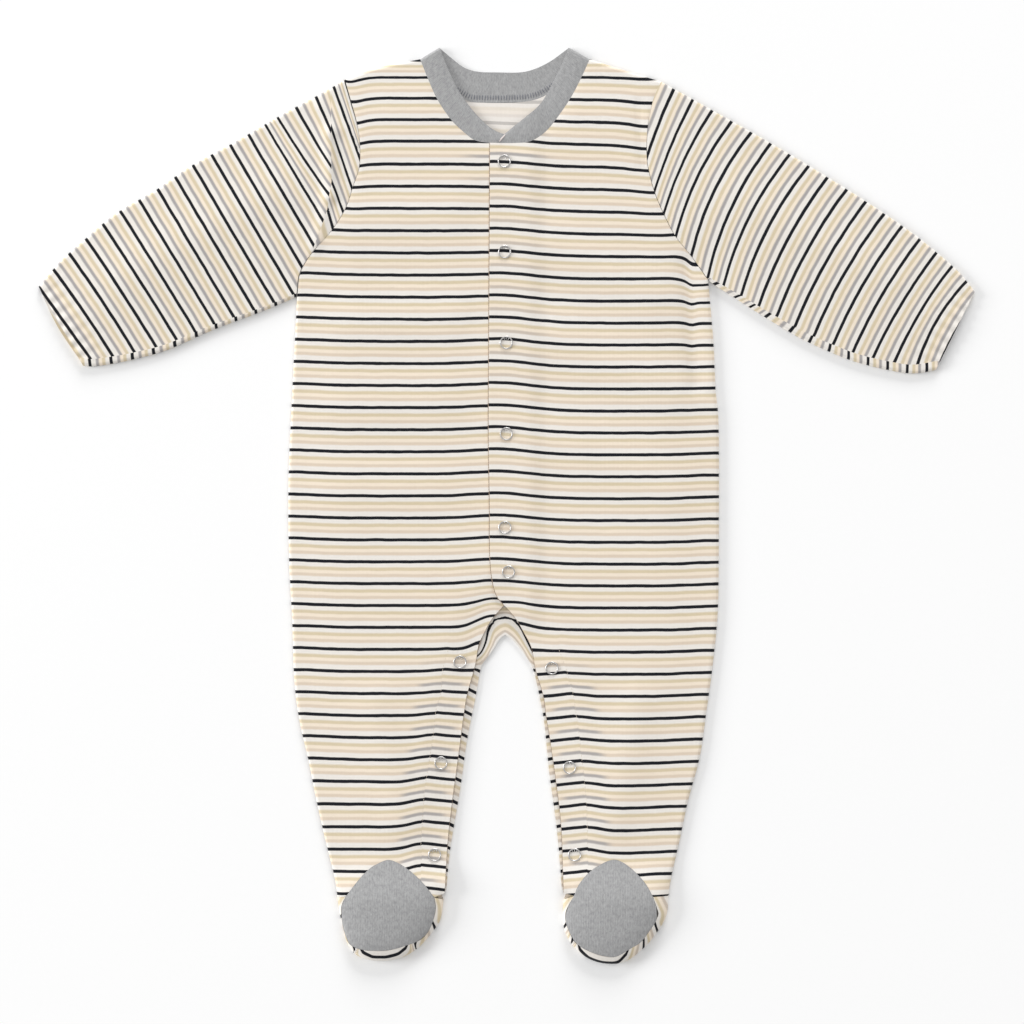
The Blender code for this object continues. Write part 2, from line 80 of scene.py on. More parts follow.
BACK_INSEAM = {  # loose edge of the back leg, from the crotch to the inner ankle
    "right": [(-1, -84.2), (-4.8, -87.2), (-7.8, -92.4), (-11.5, -97.7), (-15.6, -102.9),
              (-17.5, -109), (-20.6, -126.8), (-25.8, -152.9), (-30.4, -185.6), (-36.9, -224.8),
              (-39.4, -251.4)],
    "left": [(-1, -84.2), (3.5, -87.2), (8.8, -93.2), (14.8, -101.4), (17.4, -106.7),
             (19.3, -113.7), (24.5, -139.9), (27.8, -172.6), (33, -211.8), (36.3, -251.4)],
}
BACK_NECK_SEAM = {  # the back's seam to the neckband, from the shoulder to the middle
    "right": [(-56.3, 292), (-48.7, 281), (-39.5, 273.9), (-25.6, 265.2), (-14.6, 263.9),
              (-1, 263.7)],
    "left": [(54.2, 292), (46.1, 283), (35.6, 275.2), (22.1, 267.1), (8.4, 264.3), (-1, 263.7)],
}


class Line:
    """A curve in plan, smooth along each stretch of points and with a corner between stretches."""

    STEPS = 6  # points worked out on each span

    def __init__(self, *stretches):
        points = [stretches[0][0]]
        for stretch in stretches:
            inner = np.array(stretch)
            spans = np.array([2 * inner[0] - inner[1], *inner, 2 * inner[-1] - inner[-2]])
            for before, start, end, after in zip(spans, spans[1:], spans[2:], spans[3:]):
                for step in range(1, self.STEPS + 1):
                    t = step / self.STEPS
                    points.append(
                        start * (1 - 3 * t**2 + 2 * t**3)
                        + end * (3 * t**2 - 2 * t**3)
                        + (end - before) / 2 * (t - 2 * t**2 + t**3)
                        + (after - start) / 2 * (t**3 - t**2)
                    )
        self.points = np.array(points, dtype=float)
        steps = np.linalg.norm(np.diff(self.points, axis=0), axis=1)
        self.length = steps.sum()
        self.shares = np.concatenate([[0], np.cumsum(steps)]) / self.length

    def at(self, share):
        """The point at a share of the length, from 0 to 1, or an array of them."""
        x, y = (np.interp(share, self.shares, self.points[:, axis]) for axis in (0, 1))
        return np.stack([x, y], axis=-1)

    def ahead(self, shares, reach):
        """The way the line runs at some shares of its length, judged from a reach either side."""
        return self.at(np.minimum(shares + reach, 1)) - self.at(np.maximum(shares - reach, 0))

    def inset(self, offset):
        """The same line, moved to the left of the way it runs."""
        shares = np.linspace(0, 1, 60)
        ahead = self.ahead(shares, 0.004)
        ahead /= np.linalg.norm(ahead, axis=1, keepdims=True)
        moved = self.at(shares) + offset * np.stack([-ahead[:, 1], ahead[:, 0]], axis=1)
        return Line(moved)


def ease(t):
    """Rises smoothly from 0 to 1 as t does."""
    t = np.clip(t, 0, 1)
    return t * t * (3 - 2 * t)


def bell(away, reach):
    """Falls smoothly from 1 to nearly 0 as the distance grows to about twice the reach."""
    return np.exp(-((away / reach) ** 2))


def distance(points, line):
    """From each point to the nearest of some straight segments, given as starts and ends."""
    starts, ends = line
    along = ends - starts
    squared = np.maximum((along**2).sum(axis=1), 1e-9)
    nearest = []
    for some in np.array_split(points, len(points) // 4000 + 1):  # in batches, to save memory
        away = some[:, None, :] - starts
        share = np.clip((away * along).sum(axis=2) / squared, 0, 1)
        nearest.append(np.linalg.norm(away - share[..., None] * along, axis=2).min(axis=1))
    return np.concatenate(nearest)


def segments(*lines):
    """The starts and ends of the straight segments of some lines."""
    starts = np.concatenate([line.points[:-1] for line in lines])
    ends = np.concatenate([line.points[1:] for line in lines])
    return starts, ends


def spread(length, step, start=(0,), end=(0,)):
    """Distances along a length: those in start, even ones, and those in end, from its far end."""
    count = max(2, round((length - start[-1] - end[-1]) / step) + 1)
    middle = np.linspace(start[-1], length - end[-1], count)
    return np.concatenate([start[:-1], middle, length - np.array(end[:-1], dtype=float)[::-1]])


def patch(left, right, rows, columns, top=None, bottom=None, top_run=1, bottom_run=1,
          right_rows=None):
    """Plan points of a piece, row by row from its top edge to its bottom one.

    left and right are Lines down its sides. rows are distances down the left one, and right_rows
    down the right one, if they aren't the same shares of it. columns gives the distances across a
    row from its width. top and bottom, if its other edges aren't straight, are Lines from left to
    right, whose shape fades out away from them: the larger the run, the sooner.
    """
    shares = np.array(rows) / left.length
    right_shares = shares if right_rows is None else np.array(right_rows) / right.length
    result = []
    for v, right_v in zip(shares, right_shares):
        start, end = left.at(v), right.at(right_v)
        width = np.linalg.norm(end - start)
        u = np.array(columns(width))[:, None] / width
        row = start + (end - start) * u
        if top:
            row += (1 - v) ** top_run * (top.at(u[:, 0]) - top.at(0) * (1 - u) - top.at(1) * u)
        if bottom:
            row += v**bottom_run * (bottom.at(u[:, 0]) - bottom.at(0) * (1 - u) - bottom.at(1) * u)
        result.append(row)
    return np.array(result)


def across(count, start=(0,), end=(0,)):
    """For patch(): the same number of columns at each width, with those at the ends kept."""

    def columns(width):
        middle = np.linspace(start[-1], width - end[-1], count)
        far = width - np.array(end[:-1], dtype=float)[::-1]
        return np.concatenate([start[:-1], middle, far])

    return columns


def panel(plan, height, weave, greyness, beyond=(0, 0), past=-1):
    """Plan points with all that cloth() needs for each, in nine columns.

    height and weave, the point's place in the knitting, are functions of plan points, or arrays.
    greyness is how grey the second stripe is. past is how far the point is past a seam or a fold
    that puts the stripes out of step, and beyond is its place in the knitting there.
    """
    places = plan.reshape(-1, 2)
    count = len(places)
    heights = height(places) if callable(height) else height.reshape(-1)
    knitted = weave(places) if callable(weave) else weave.reshape(-1, 2)
    parts = [
        places.T, [heights], knitted.T, [np.broadcast_to(greyness, count)],
        np.broadcast_to(beyond, (count, 2)).T, [np.broadcast_to(past, count)],
    ]
    return np.concatenate(parts).T.reshape(*plan.shape[:2], 9)


def add(name, bm, finishes):
    """Makes an object of the garment from a bmesh, in metres."""
    bmesh.ops.scale(bm, vec=(MM, MM, MM), verts=bm.verts)
    mesh = bpy.data.meshes.new(name)
    bm.to_mesh(mesh)
    bm.free()
    for finish in finishes:
        mesh.materials.append(finish)
    made = bpy.data.objects.new(name, mesh)
    bpy.context.scene.collection.objects.link(made)
    mesh.shade_smooth()
    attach(made, "root")
    return made


def cloth(name, panels, finishes, tube=False, wall=WALL):
    """A wall of cloth through some panels, welded where they touch, with sharp cut edges.

    finishes are those of its upper side and its lower one, or of a tube's outside and inside.
    """
    bm = bmesh.new()
    weave = bm.loops.layers.uv.new("weave")
    beyond = bm.loops.layers.uv.new("beyond")
    greyness = bm.verts.layers.float.new("greyness")
    past = bm.verts.layers.float.new("past")
    for points in panels:
        rows, columns = points.shape[:2]
        grid = bmesh.ops.create_grid(bm, x_segments=columns - 1, y_segments=rows - 1)
        for vertex, values in zip(grid["verts"], points.reshape(-1, 9).tolist()):
            vertex.co = values[:3]
            vertex[greyness] = values[5]
            vertex[past] = values[8]
            for loop in vertex.link_loops:
                loop[weave].uv = (values[3] * MM, values[4] * MM)
                loop[beyond].uv = (values[6] * MM, values[7] * MM)
    bmesh.ops.remove_doubles(bm, verts=bm.verts, dist=WELD)
    bmesh.ops.recalc_face_normals(bm, faces=bm.faces)
    if not tube and sum(face.normal.z for face in bm.faces) < 0:
        bmesh.ops.reverse_faces(bm, faces=bm.faces)
    for edge in bm.edges:
        edge.smooth = not edge.is_boundary
    made = add(name, bm, finishes)
    shell = made.modifiers.new("Wall", "SOLIDIFY")
    shell.thickness = wall * MM
    shell.offset = 0
    shell.material_offset = len(finishes) - 1
    return made


class Value:
    """A socket of a shader's nodes, which Python's operators work on."""

    def __init__(self, finish, socket):
        self.finish = finish
        self.socket = socket

    def math(self, operation, *values):
        inputs = dict(enumerate(values))
        return self.finish.node("ShaderNodeMath", {"operation": operation}, inputs)

    def __add__(self, other):
        return self.math("ADD", self, other)

    def __radd__(self, other):
        return self.math("ADD", other, self)

    def __sub__(self, other):
        return self.math("SUBTRACT", self, other)

    def __rsub__(self, other):
        return self.math("SUBTRACT", other, self)

    def __mul__(self, other):
        return self.math("MULTIPLY", self, other)

    def __rmul__(self, other):
        return self.math("MULTIPLY", other, self)

    def __truediv__(self, other):
        return self.math("DIVIDE", self, other)

    def __mod__(self, other):
        return self.math("FLOORED_MODULO", self, other)

    def __abs__(self):
        return self.math("ABSOLUTE", self)

    def wave(self):
        """A smooth wave from -1 to 1 that repeats each time the value grows by 1."""
        return self.math("SINE", self * (2 * math.pi))


class Finish:
    """A material and the nodes that make it. constants are sockets of its shader."""

    def __init__(self, name, **constants):
        self.material = bpy.data.materials.new(name)
        self.material.use_nodes = True
        self.tree = self.material.node_tree
        self.shader = self.tree.nodes["Principled BSDF"]
        for socket, value in constants.items():
            self.shader.inputs[socket.replace("_", " ")].default_value = value

    def link(self, socket, value):
        if isinstance(value, Value):
            self.tree.links.new(value.socket, socket)
        else:
            socket.default_value = value

    def node(self, kind, settings=None, inputs=None, output=0):
        """Adds a node, with its settings first and then the values or links of its sockets."""
        made = self.tree.nodes.new(kind)
        for name, value in (settings or {}).items():
            if name == "stops":
                ramp = made.color_ramp.elements
                while len(ramp) < len(value):
                    ramp.new(1)
                for stop, (place, colour) in zip(ramp, value):
                    stop.position = place
                    stop.color = (*colour, 1)
            else:
                setattr(made, name, value)
        for name, value in (inputs or {}).items():
            self.link(made.inputs[name], value)
        return Value(self, made.outputs[output])

    def mix(self, share, first, second):
        """A colour between two colours."""
        return self.node(
            "ShaderNodeMix", {"data_type": "RGBA"}, {0: share, 6: first, 7: second}, output=2
        )

    def tint(self, colour, factor):
        """A colour times a number."""
        return self.node(
            "ShaderNodeVectorMath", {"operation": "SCALE"}, {0: colour, "Scale": factor}
        )

    def noise(self, place, scale, detail=2.0, spread=0.5):
        """Even, cloudy variation from 0 to 1."""
        inputs = {"Vector": place, "Scale": scale, "Detail": detail, "Roughness": spread}
        return self.node("ShaderNodeTexNoise", None, inputs, output="Fac")

    def weave_place(self):
        """Where a point is in the knitting, in metres: along a stripe and across the stripes."""
        near, far = (self.node("ShaderNodeUVMap", {"uv_map": name}) for name in ("weave", "beyond"))
        past = self.node("ShaderNodeAttribute", {"attribute_name": "past"}, output="Fac")
        share = past.math("GREATER_THAN", past, 0.0)
        place = self.node(
            "ShaderNodeMix", {"data_type": "VECTOR"}, {0: share, 4: near, 5: far}, output=1
        )
        along, over = (
            self.node("ShaderNodeSeparateXYZ", None, {0: place}, output=part) for part in (0, 1)
        )
        return place, along, over

    def surface(self, colour, height, depth):
        """Gives the shader its colour, and relief from a height from 0 to 1 and a real depth."""
        self.link(self.shader.inputs["Base Color"], colour)
        inputs = {"Height": height, "Distance": depth * MM, "Strength": 1.0}
        bump = self.node("ShaderNodeBump", None, inputs)
        self.link(self.shader.inputs["Normal"], bump)


def srgb(red, green, blue):
    """A colour in linear light, from the usual 0 to 255."""
    shares = (value / 255 for value in (red, green, blue))
    return tuple(((share + 0.055) / 1.055) ** 2.4 for share in shares)


NAVY = srgb(22, 24, 30)
WHITE = srgb(237, 232, 225)
BEIGE = srgb(217, 202, 172)
CREAM = srgb(242, 228, 209)
TAN = srgb(224, 207, 187)
GREY = srgb(160, 158, 160)
INSIDE = srgb(238, 232, 226)

WANDER = 0.8  # how much a stripe strays
STITCH_WIDE = 0.85  # one stitch of the knitting
STITCH_HIGH = 0.7
KNIT_DEPTH = 0.12  # relief of the knitting
NECK_FADE = (200, 230)  # the back's wrong side pales between these heights


def stripes(second):
    """The stops of a ramp over one repeat, whose second narrow stripe has the colour given."""
    return [
        (0, NAVY), (0.064, NAVY), (0.083, WHITE), (0.22, WHITE), (0.30, BEIGE), (0.385, BEIGE),
        (0.44, CREAM), (0.53, CREAM), (0.60, second), (0.675, second), (0.74, WHITE),
        (0.917, WHITE), (0.936, NAVY), (1, NAVY),
    ]


def knit(along, over):
    """Height of plain knitting, from columns of small V-shaped stitches."""
    column = along / (STITCH_WIDE * MM)
    slant = abs(column % 1 - 0.5)
    row = over / (STITCH_HIGH * MM) + slant
    return 0.5 + 0.25 * row.wave() + 0.25 * (column + 0.25).wave()


def jersey(name, fade):
    """Striped jersey. fade is how much of its colour the cloth's wrong side loses by the neck."""
    finish = Finish(
        name, Roughness=0.92, Specular_IOR_Level=0.15, Sheen_Weight=0.12, Sheen_Roughness=0.5
    )
    place, along, over = finish.weave_place()
    wander = finish.noise(place, 90, 3)
    share = ((over + (wander - 0.5) * (WANDER * MM)) / (REPEAT * MM)) % 1
    ramps = [
        finish.node("ShaderNodeValToRGB", {"stops": stripes(second)}, {0: share})
        for second in (TAN, GREY)
    ]
    greyness = finish.node("ShaderNodeAttribute", {"attribute_name": "greyness"}, output="Fac")
    colour = finish.mix(greyness, *ramps)
    if fade:
        spot = finish.node("ShaderNodeTexCoord", output="Object")
        spot_y = finish.node("ShaderNodeSeparateXYZ", None, {0: spot}, output="Y")
        low, high = (height * MM for height in NECK_FADE)
        limits = {"Value": spot_y, "From Min": low, "From Max": high, "To Max": fade}
        share = finish.node("ShaderNodeMapRange", None, limits)
        colour = finish.mix(share, colour, (*INSIDE, 1))
    cloudy = finish.noise(place, 60)
    fluff = finish.noise(place, 1400, 3)
    colour = finish.tint(colour, 0.965 + 0.04 * cloudy + 0.05 * (fluff - 0.5))
    finish.surface(colour, knit(along, over) * 0.8 + fluff * 0.2, KNIT_DEPTH)
    return finish.material


jersey_outside = jersey("striped jersey", fade=0)
jersey_inside = jersey("striped jersey, wrong side", fade=0.66)

BODY_STRIPES = {  # navy stripes of each half: columns number and height, from the neck down
    "right": [(-2, 305), (-1, 291.2), (0, 280.3), (1, 266.6), (3, 238.6), (4, 223.6), (15, 64.4),
              (20, -7.8), (25, -79.3), (32, -180.2), (35, -224.4), (42, -325)],
    "left": [(-2, 305), (-1, 292.3), (0, 280.4), (1, 265.6), (10, 134.1), (15, 62.1), (20, -9.5),
             (23, -52.2), (28, -124.4), (33, -197.4), (35, -227), (42, -328)],
}


def body_number(side, height):
    """The stripe's number at some heights, as a count of repeats from the shoulder."""
    number, level = np.array(BODY_STRIPES[side]).T
    return np.interp(-height, -level, number)


CROTCH = (-1, -84.2)
CROTCH_NUMBER = 26.84  # the stripe at the back's edge in the crotch
CROTCH_TOP = -60  # the stripes follow that edge from here
CROTCH_END = -94  # to here, down each leg
CROTCH_NEAR = -72  # below this they are narrower,
CROTCH_NARROWING = 0.6  # by this share 14 mm further down
ARCH = 12.2  # and so are those further inside than this,
ARCH_WIDE = 2.4  # over this width,
ARCH_NARROWING = 0.14  # by this part of a repeat for each millimetre
BACK_NECK_DROP = 1.4  # how much lower the back's stripes lie than the front's at the neck,
BACK_LEG_RISE = {"right": (0.3, 0.45), "left": (2.4, 0.2)}  # and higher on the legs: rise, slope
BACK_LEG_TOP = (-70, 30)  # where a leg's rise starts, and the height over which it grows
BACK_BLEND = (-31, 60)  # where the right half's stripes start to turn into the left one's, width


def back_weave(side):
    """Where points of the back are in its weave: level, but along the edge round the crotch."""
    edge = segments(Line(BACK_INSEAM[side]))

    def weave(points):
        x, y = points.T
        inside = distance(points, edge)
        base, slope = BACK_LEG_RISE[side]
        leg = ease((BACK_LEG_TOP[0] - y) / BACK_LEG_TOP[1])
        rise = (base + slope * np.minimum(inside, 6)) * leg - BACK_NECK_DROP * (1 - leg)
        share = ease((x - BACK_BLEND[0]) / BACK_BLEND[1])
        right, left = (body_number(half, y - rise) for half in ("right", "left"))
        number = (1 - share) * right + share * left
        narrowing = 1 + CROTCH_NARROWING * np.clip((CROTCH_NEAR - y) / 14, 0, 2.5) ** 1.5
        bowed = CROTCH_NUMBER - inside * narrowing / REPEAT
        bowed += 0.05 * bell(x + 7.5, 2.5)
        bowed -= ARCH_NARROWING * np.clip(inside - ARCH, 0, ARCH_WIDE)
        share = (1 - ease((y - CROTCH_TOP) / 20)) * (1 - ease((CROTCH_END - y) / 14))
        return np.stack([x, (number + (bowed - number) * share) * REPEAT], axis=1)

    return weave


def flat(points):
    """Lies on the surface."""
    return np.full(len(points), FLOOR)


BACK_TUCK = ROLL * 0.75  # how far inside the folded edge the back stops
BACK_GREYNESS = 0.3
BODY_ROWS = 110  # rows of the mesh above the crotch
LEG_ROWS = 70  # and below it
BACK_COLUMNS = 60  # across each half

panels = []
for side, turn in (("right", 1), ("left", -1)):
    body = Line([BACK_NECK_SEAM[side][-1], CROTCH]).length
    centre = Line([BACK_NECK_SEAM[side][-1], CROTCH], BACK_INSEAM[side])
    shoulder = Line(SHOULDER[side], BACK_NECK_SEAM[side])
    armhole = Line(ARMHOLE[side]).inset(SEAM * turn)
    outer = Line(armhole.points, Line(SIDE[side]).inset(BACK_TUCK * turn).points[3:])
    downward = np.abs(np.diff(outer.points, axis=0)).sum(axis=1).cumsum()
    level = outer.length * downward[np.argmax(outer.points[:, 1] < CROTCH[1])] / downward[-1]
    plan = patch(
        outer,
        centre,
        rows=[*np.linspace(0, level, BODY_ROWS)[:-1], *np.linspace(level, outer.length, LEG_ROWS)],
        right_rows=[
            *np.linspace(0, body, BODY_ROWS)[:-1], *np.linspace(body, centre.length, LEG_ROWS)
        ],
        columns=across(BACK_COLUMNS),
        top=shoulder,
        top_run=5,
    )
    panels.append(panel(plan, flat, back_weave(side), BACK_GREYNESS))
back = cloth("back_panel", panels, [jersey_inside, jersey_outside])
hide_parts("back")


# Fronts: the right front, with its underlap, and the left front, which lies over it and is snapped
# to it. Each is one piece of the striped jersey from the shoulder to the ankle. The upper layer is
# turned under at the sides and shoulders, and stands a little off the back, with soft swells.

LAYER = WALL + 0.4  # rise from one layer to the one laid on it
TURN = (0, 0.25, 0.6, 1.0, ROLL)  # distances from a folded edge at which its turn has points
LOFT = 0.9  # how much higher the upper layer stands in the middle than near its edges,
LOFT_REACH = 42  # this far in from a fold
REST_REACH = 25  # and this far in from a loose edge
FOOT_RISE = 4.6  # height of the foot's dome,
FOOT_REACH = 20  # which is full this far in from the fold,
ANKLE_Y = -226  # starts at the ankle
FOOT_RUN = 36  # and is full this far below it
UNDERLAP_X = 12  # edge of the underlap
STEP_CLEAR = 1  # past it, the left front starts to come down to the back,
STEP_RUN = 15  # over this width
CROTCH_Y = -66  # and below this to the level of the right front,
CROTCH_RUN = 24  # over this height
PLACKET_RUN = 16  # the folds are full this far past the underlap,
EDGE_REACH = 8  # from a folded edge
LOOSE_REACH = 12  # and from a loose one,
LOOSE_SHARE = 0.2  # where they fade by less
GATHER_PITCH = 8.0  # from one gather of the cuff to the next
GATHER_HEIGHT = 0.4
GATHER_REACH = 10  # how far up the sleeve they fade

SLEEVE_TOP = {  # folded edge, from the cuff to the shoulder point
    "right": [(-305.8, 143.3), (-292, 159.6), (-279, 171.4), (-255.6, 191), (-229, 206.7),
              (-206, 222.4), (-177.3, 238.1), (-150.5, 253.8), (-121.7, 269.4), (-105.6, 278.6)],
    "left": [(306, 140), (300.8, 147), (291.8, 156.6), (269.3, 175.3), (247.1, 191), (223, 206.7),
             (191, 226.3), (164.2, 242), (122.3, 265.5), (101, 277.3)],
}
SLEEVE_UNDER = {  # seamed edge, from the cuff to the underarm
    "right": [(-277, 92.2), (-270.5, 91.7), (-259.2, 93.3), (-246, 95.9), (-221.9, 102.5),
              (-192.5, 115.5), (-157.8, 128.6), (-137.4, 137.4)],
    "left": [(281, 89.5), (271, 87.5), (261, 87.4), (247, 90), (233.4, 93.3), (219.7, 97.9),
             (194.3, 109.2), (168.1, 124.7), (148.5, 137.2), (132.4, 147.4)],
}
TOE = {  # folded edge, from the outer ankle round the toes to the inner ankle
    "right": [(-110.3, -255.4), (-108.3, -267.7), (-105.1, -281.9), (-101.5, -289.7),
              (-96.6, -294.1), (-89.3, -296.6), (-79.4, -297.2), (-69.5, -295.3), (-62.1, -291.6),
              (-55.9, -286.7), (-48.5, -278), (-43.5, -270), (-41.3, -256.9)],
    "left": [(105.7, -254.5), (104.4, -267), (99, -277.4), (91.5, -286.7), (84.1, -293.5),
             (76.8, -297.9), (69.4, -299.1), (59.6, -297.9), (50.3, -293.5), (42.4, -285.5),
             (38, -275.7), (37.4, -265.2), (37.7, -256.9)],
}
INSEAM = {  # loose edge of the front leg, from the crotch to the inner ankle
    "right": [(-1.6, -64.7), (-10, -74.5), (-14.5, -82.7), (-18.3, -90.9), (-20.5, -104),
              (-25.4, -121.6), (-27.9, -135.6), (-31.7, -164.7), (-35.5, -192.8),
              (-38.6, -220.9), (-40.4, -252.6)],
    "left": [(-1.6, -64.7), (2.7, -69.3), (7.3, -75.2), (11, -82), (14.7, -88.7), (17, -94.8),
             (19.2, -107.2), (24.4, -124.8), (26.1, -137.9), (28.6, -152.9), (32.7, -181.7),
             (35.9, -210.5), (37.4, -252.6)],
}
TOE_CAP_UPPER = {  # the toe cap's seam to the leg, from the outer side to the inner one
    "right": [(-105, -255), (-98.4, -246.4), (-92, -239.2), (-86.5, -235), (-78.1, -231.3),
              (-71.9, -232.7), (-65.7, -236.4), (-59.3, -241.4), (-52.5, -248.4),
              (-47.2, -255.5)],
    "left": [(95.6, -255), (90.7, -246.4), (83.2, -238.3), (75.7, -232.7), (69.4, -231.1),
             (60.7, -234.6), (53.1, -240.2), (46.9, -247.7), (44.2, -254.5)],
}
NECK_SEAM = {  # the front's seam to the neckband, from the shoulder to the front opening
    "right": [(-56.3, 292), (-51.7, 280.4), (-45.3, 266.1), (-36.1, 252.4), (-26.5, 243.3),
              (-20.1, 239), (-10, 237.4), (5.6, 237.3)],
    "left": [(54.2, 292), (48.7, 279.9), (41.4, 266.1), (31.7, 252), (24.8, 244.2),
             (15.7, 238.4), (6.2, 237.3), (-6.2, 237.3)],
}
NECK_EDGE = {  # the neckband's free edge over the front, in the same order
    "right": [(-43.7, 299.6), (-39.3, 288.2), (-32.9, 274.4), (-26.5, 264.3), (-18.2, 254.3),
              (-10, 246.9), (-1.8, 243.2), (5.6, 242.8)],
    "left": [(40.5, 299.6), (35.9, 288.2), (28.6, 273.3), (22, 262.6), (12.5, 254),
             (4.1, 247.3), (-0.9, 242.9)],
}
OPENING = [(-10.8, 237.3), (-11.4, 115), (-11.7, 49.7), (-11, 0), (-11, -22.2), (-10.2, -41.2),
           (-7.2, -56.9), (-1.6, -64.7)]  # edge of the left front, from the neck to the crotch
UNDERLAP = [(UNDERLAP_X, 237.3), (UNDERLAP_X, 110), (UNDERLAP_X, -28), (8, -50), (-1.6, -64.7)]
LEG_STITCH = {  # the inner edge of each leg's placket, from the top down
    "right": [(-37.9, -93.5), (-41.7, -106.9), (-42.9, -120.9), (-46.3, -134.6), (-47.9, -149.7),
              (-50, -163.4), (-52.4, -177.8), (-54.1, -191.5), (-54.9, -205.9), (-55.9, -219.6),
              (-55.6, -234.6)],
    "left": [(34.3, -93.5), (39.8, -109.2), (43.6, -123.5), (45.7, -137.3), (47.7, -151.6),
             (49.3, -166), (51, -179.7), (52.2, -194.8), (52.8, -209.2), (53.1, -223.9)],
}

# Soft folds and swells of the upper layer. Columns: from x, from y, to x, to y, width, height.
FOLDS = [
    (-125, 266, -115.5, 244, 6, 1.0),  # pleat beside the right armhole
    (-115.5, 244, -116, 202, 6, 1.5),
    (-116, 202, -125, 170, 6, 0.9),
    (86.5, 263, 89, 222, 4.5, -0.5),  # dip beside the left armhole
    (119, 158, 124, 80, 8, -0.9),  # long dip down the left side of the chest
    (-95, 186, -40, 190, 26, 0.8),  # swells of the right front between the snaps
    (-105, 118, -40, 122, 24, 0.8),
    (-110, 66, -45, 68, 24, 0.7),
    (-112, 8, -50, 10, 26, 0.6),
    (30, 170, 95, 138, 24, 0.8),  # swells of the left front, which run down to the side
    (34, 110, 104, 72, 24, 0.8),
    (34, 44, 108, 8, 26, 0.6),
    (-86, -130, -70, -205, 18, 0.9),  # one swell down each leg
    (84, -130, 70, -205, 18, 0.9),
    (-250, 150, -150, 205, 22, 0.8),  # and one along each sleeve
    (252, 148, 150, 200, 22, 0.8),
]
GROOVE_WIDTH = 1.2  # the cloth dips this near a seam,
GROOVE_DEPTH = 0.1  # by this much
GROOVE_CLEAR = 3  # but less this near a folded edge

FOLDED = segments(
    *(Line(SLEEVE_TOP[side], SHOULDER[side], [NECK_SEAM[side][0], NECK_EDGE[side][0]])
      for side in SIDE),
    *(Line(SLEEVE_UNDER[side], SIDE[side], TOE[side]) for side in SIDE),
)
LOOSE = segments(*(Line(table[side]) for table in (INSEAM, NECK_EDGE) for side in SIDE))
SEAMS = segments(
    *(Line(table[side]) for table in (ARMHOLE, NECK_SEAM, TOE_CAP_UPPER) for side in SIDE)
)
PLACKETS = segments(*(Line(LEG_STITCH[side]) for side in SIDE))


def gathers(points):
    """Waves along each cuff."""
    height = np.zeros(len(points))
    for side in SIDE:
        top, bottom = np.array(SLEEVE_TOP[side][0]), np.array(SLEEVE_UNDER[side][0])
        along = (bottom - top) / np.linalg.norm(bottom - top)
        up_sleeve = np.array([-along[1], along[0]]) * (1 if side == "right" else -1)
        away = (points - top) @ up_sleeve
        down = (points - top) @ along
        near = down < 2 * np.linalg.norm(bottom - top)
        wave = np.sin(2 * math.pi * down / GATHER_PITCH) * near
        height += GATHER_HEIGHT * wave * np.exp(-np.abs(away) / GATHER_REACH)
    return height


def upper(points):
    """Height of the middle of the upper layer at some points in plan."""
    points = np.asarray(points, dtype=float)
    from_fold = distance(points, FOLDED)
    from_loose = distance(points, LOOSE)
    turn = np.minimum(from_fold, ROLL)
    height = FLOOR + np.sqrt(ROLL**2 - (ROLL - turn) ** 2)
    height += LOFT * ease(from_fold / LOFT_REACH) * ease(from_loose / REST_REACH)
    dome = 1 - (1 - np.minimum(from_fold / FOOT_REACH, 1)) ** 2
    height += FOOT_RISE * np.sqrt(dome) * ease((ANKLE_Y - points[:, 1]) / FOOT_RUN)
    relief = gathers(points)
    for x0, y0, x1, y1, width, rise in FOLDS:
        away = distance(points, (np.array([[x0, y0]]), np.array([[x1, y1]])))
        relief += rise * np.exp(-((away / width) ** 2) * 2)
    relief *= ease((np.abs(points[:, 0]) - UNDERLAP_X) / PLACKET_RUN)
    height += relief * ease(from_fold / EDGE_REACH) * ease(from_loose / LOOSE_REACH + LOOSE_SHARE)
    inside = ease(from_fold / GROOVE_CLEAR)
    height -= GROOVE_DEPTH * inside * bell(distance(points, SEAMS), GROOVE_WIDTH)
    height -= GROOVE_DEPTH / 2 * bell(distance(points, PLACKETS), GROOVE_WIDTH)
    return height


def over(points):
    """The same for a piece that lies over the underlap of the front opening."""
    points = np.asarray(points, dtype=float)
    sideways = 1 - ease((points[:, 0] - UNDERLAP_X - STEP_CLEAR) / STEP_RUN)
    down = 1 - ease((CROTCH_Y - points[:, 1]) / CROTCH_RUN)
    return upper(points) + LAYER * sideways * down


# How the stripes of the fronts bend, where the cloth was pulled as it was sewn and laid.
PLACKET_LIFT = {  # at the front opening: columns y, rise
    "right": [(-60, 1.0), (-48, 1.5), (-35, 1.7), (0, 1.5), (80, 1.1), (166, 0.2), (200, -0.6),
              (230, -0.4)],
    "left": [(-125, 0.4), (-95, 3.4), (-48, 3.6), (0, 3.7), (80, 4.2), (220, 3.2)],
}
PLACKET_LIFT_AT = {"right": (-10, 20), "left": (-8, 31)}  # x, reach
LEG_LIFT = {  # at the placket's stitching down each leg: columns y, rise
    "right": [(-230, 4.2), (-195, 3.6), (-150, 2.3), (-107, 1.6), (-93, 0.7), (-80, 0)],
    "left": [(-230, 3.1), (-195, 2.5), (-166, 2.0), (-122, 1.9), (-108, 1.1), (-93, 0.8), (-80, 0)],
}
LEG_LIFT_REACH = 11  # how far outwards it fades
LEG_LIFT_TOP = (-80, 30)  # height at which it starts, and over which it grows
LEG_STEP = 0.5  # how much lower the stripes start past the stitching,
LEG_STEP_TOP = (-85, 15)  # and the same for that
LEG_SLOPE = 0.11  # how they run up to the stitching, from the leg's inner edge
SIDE_LIFT = 1.2  # how much they rise at the side,
SIDE_LIFT_REACH = 22  # this near it,
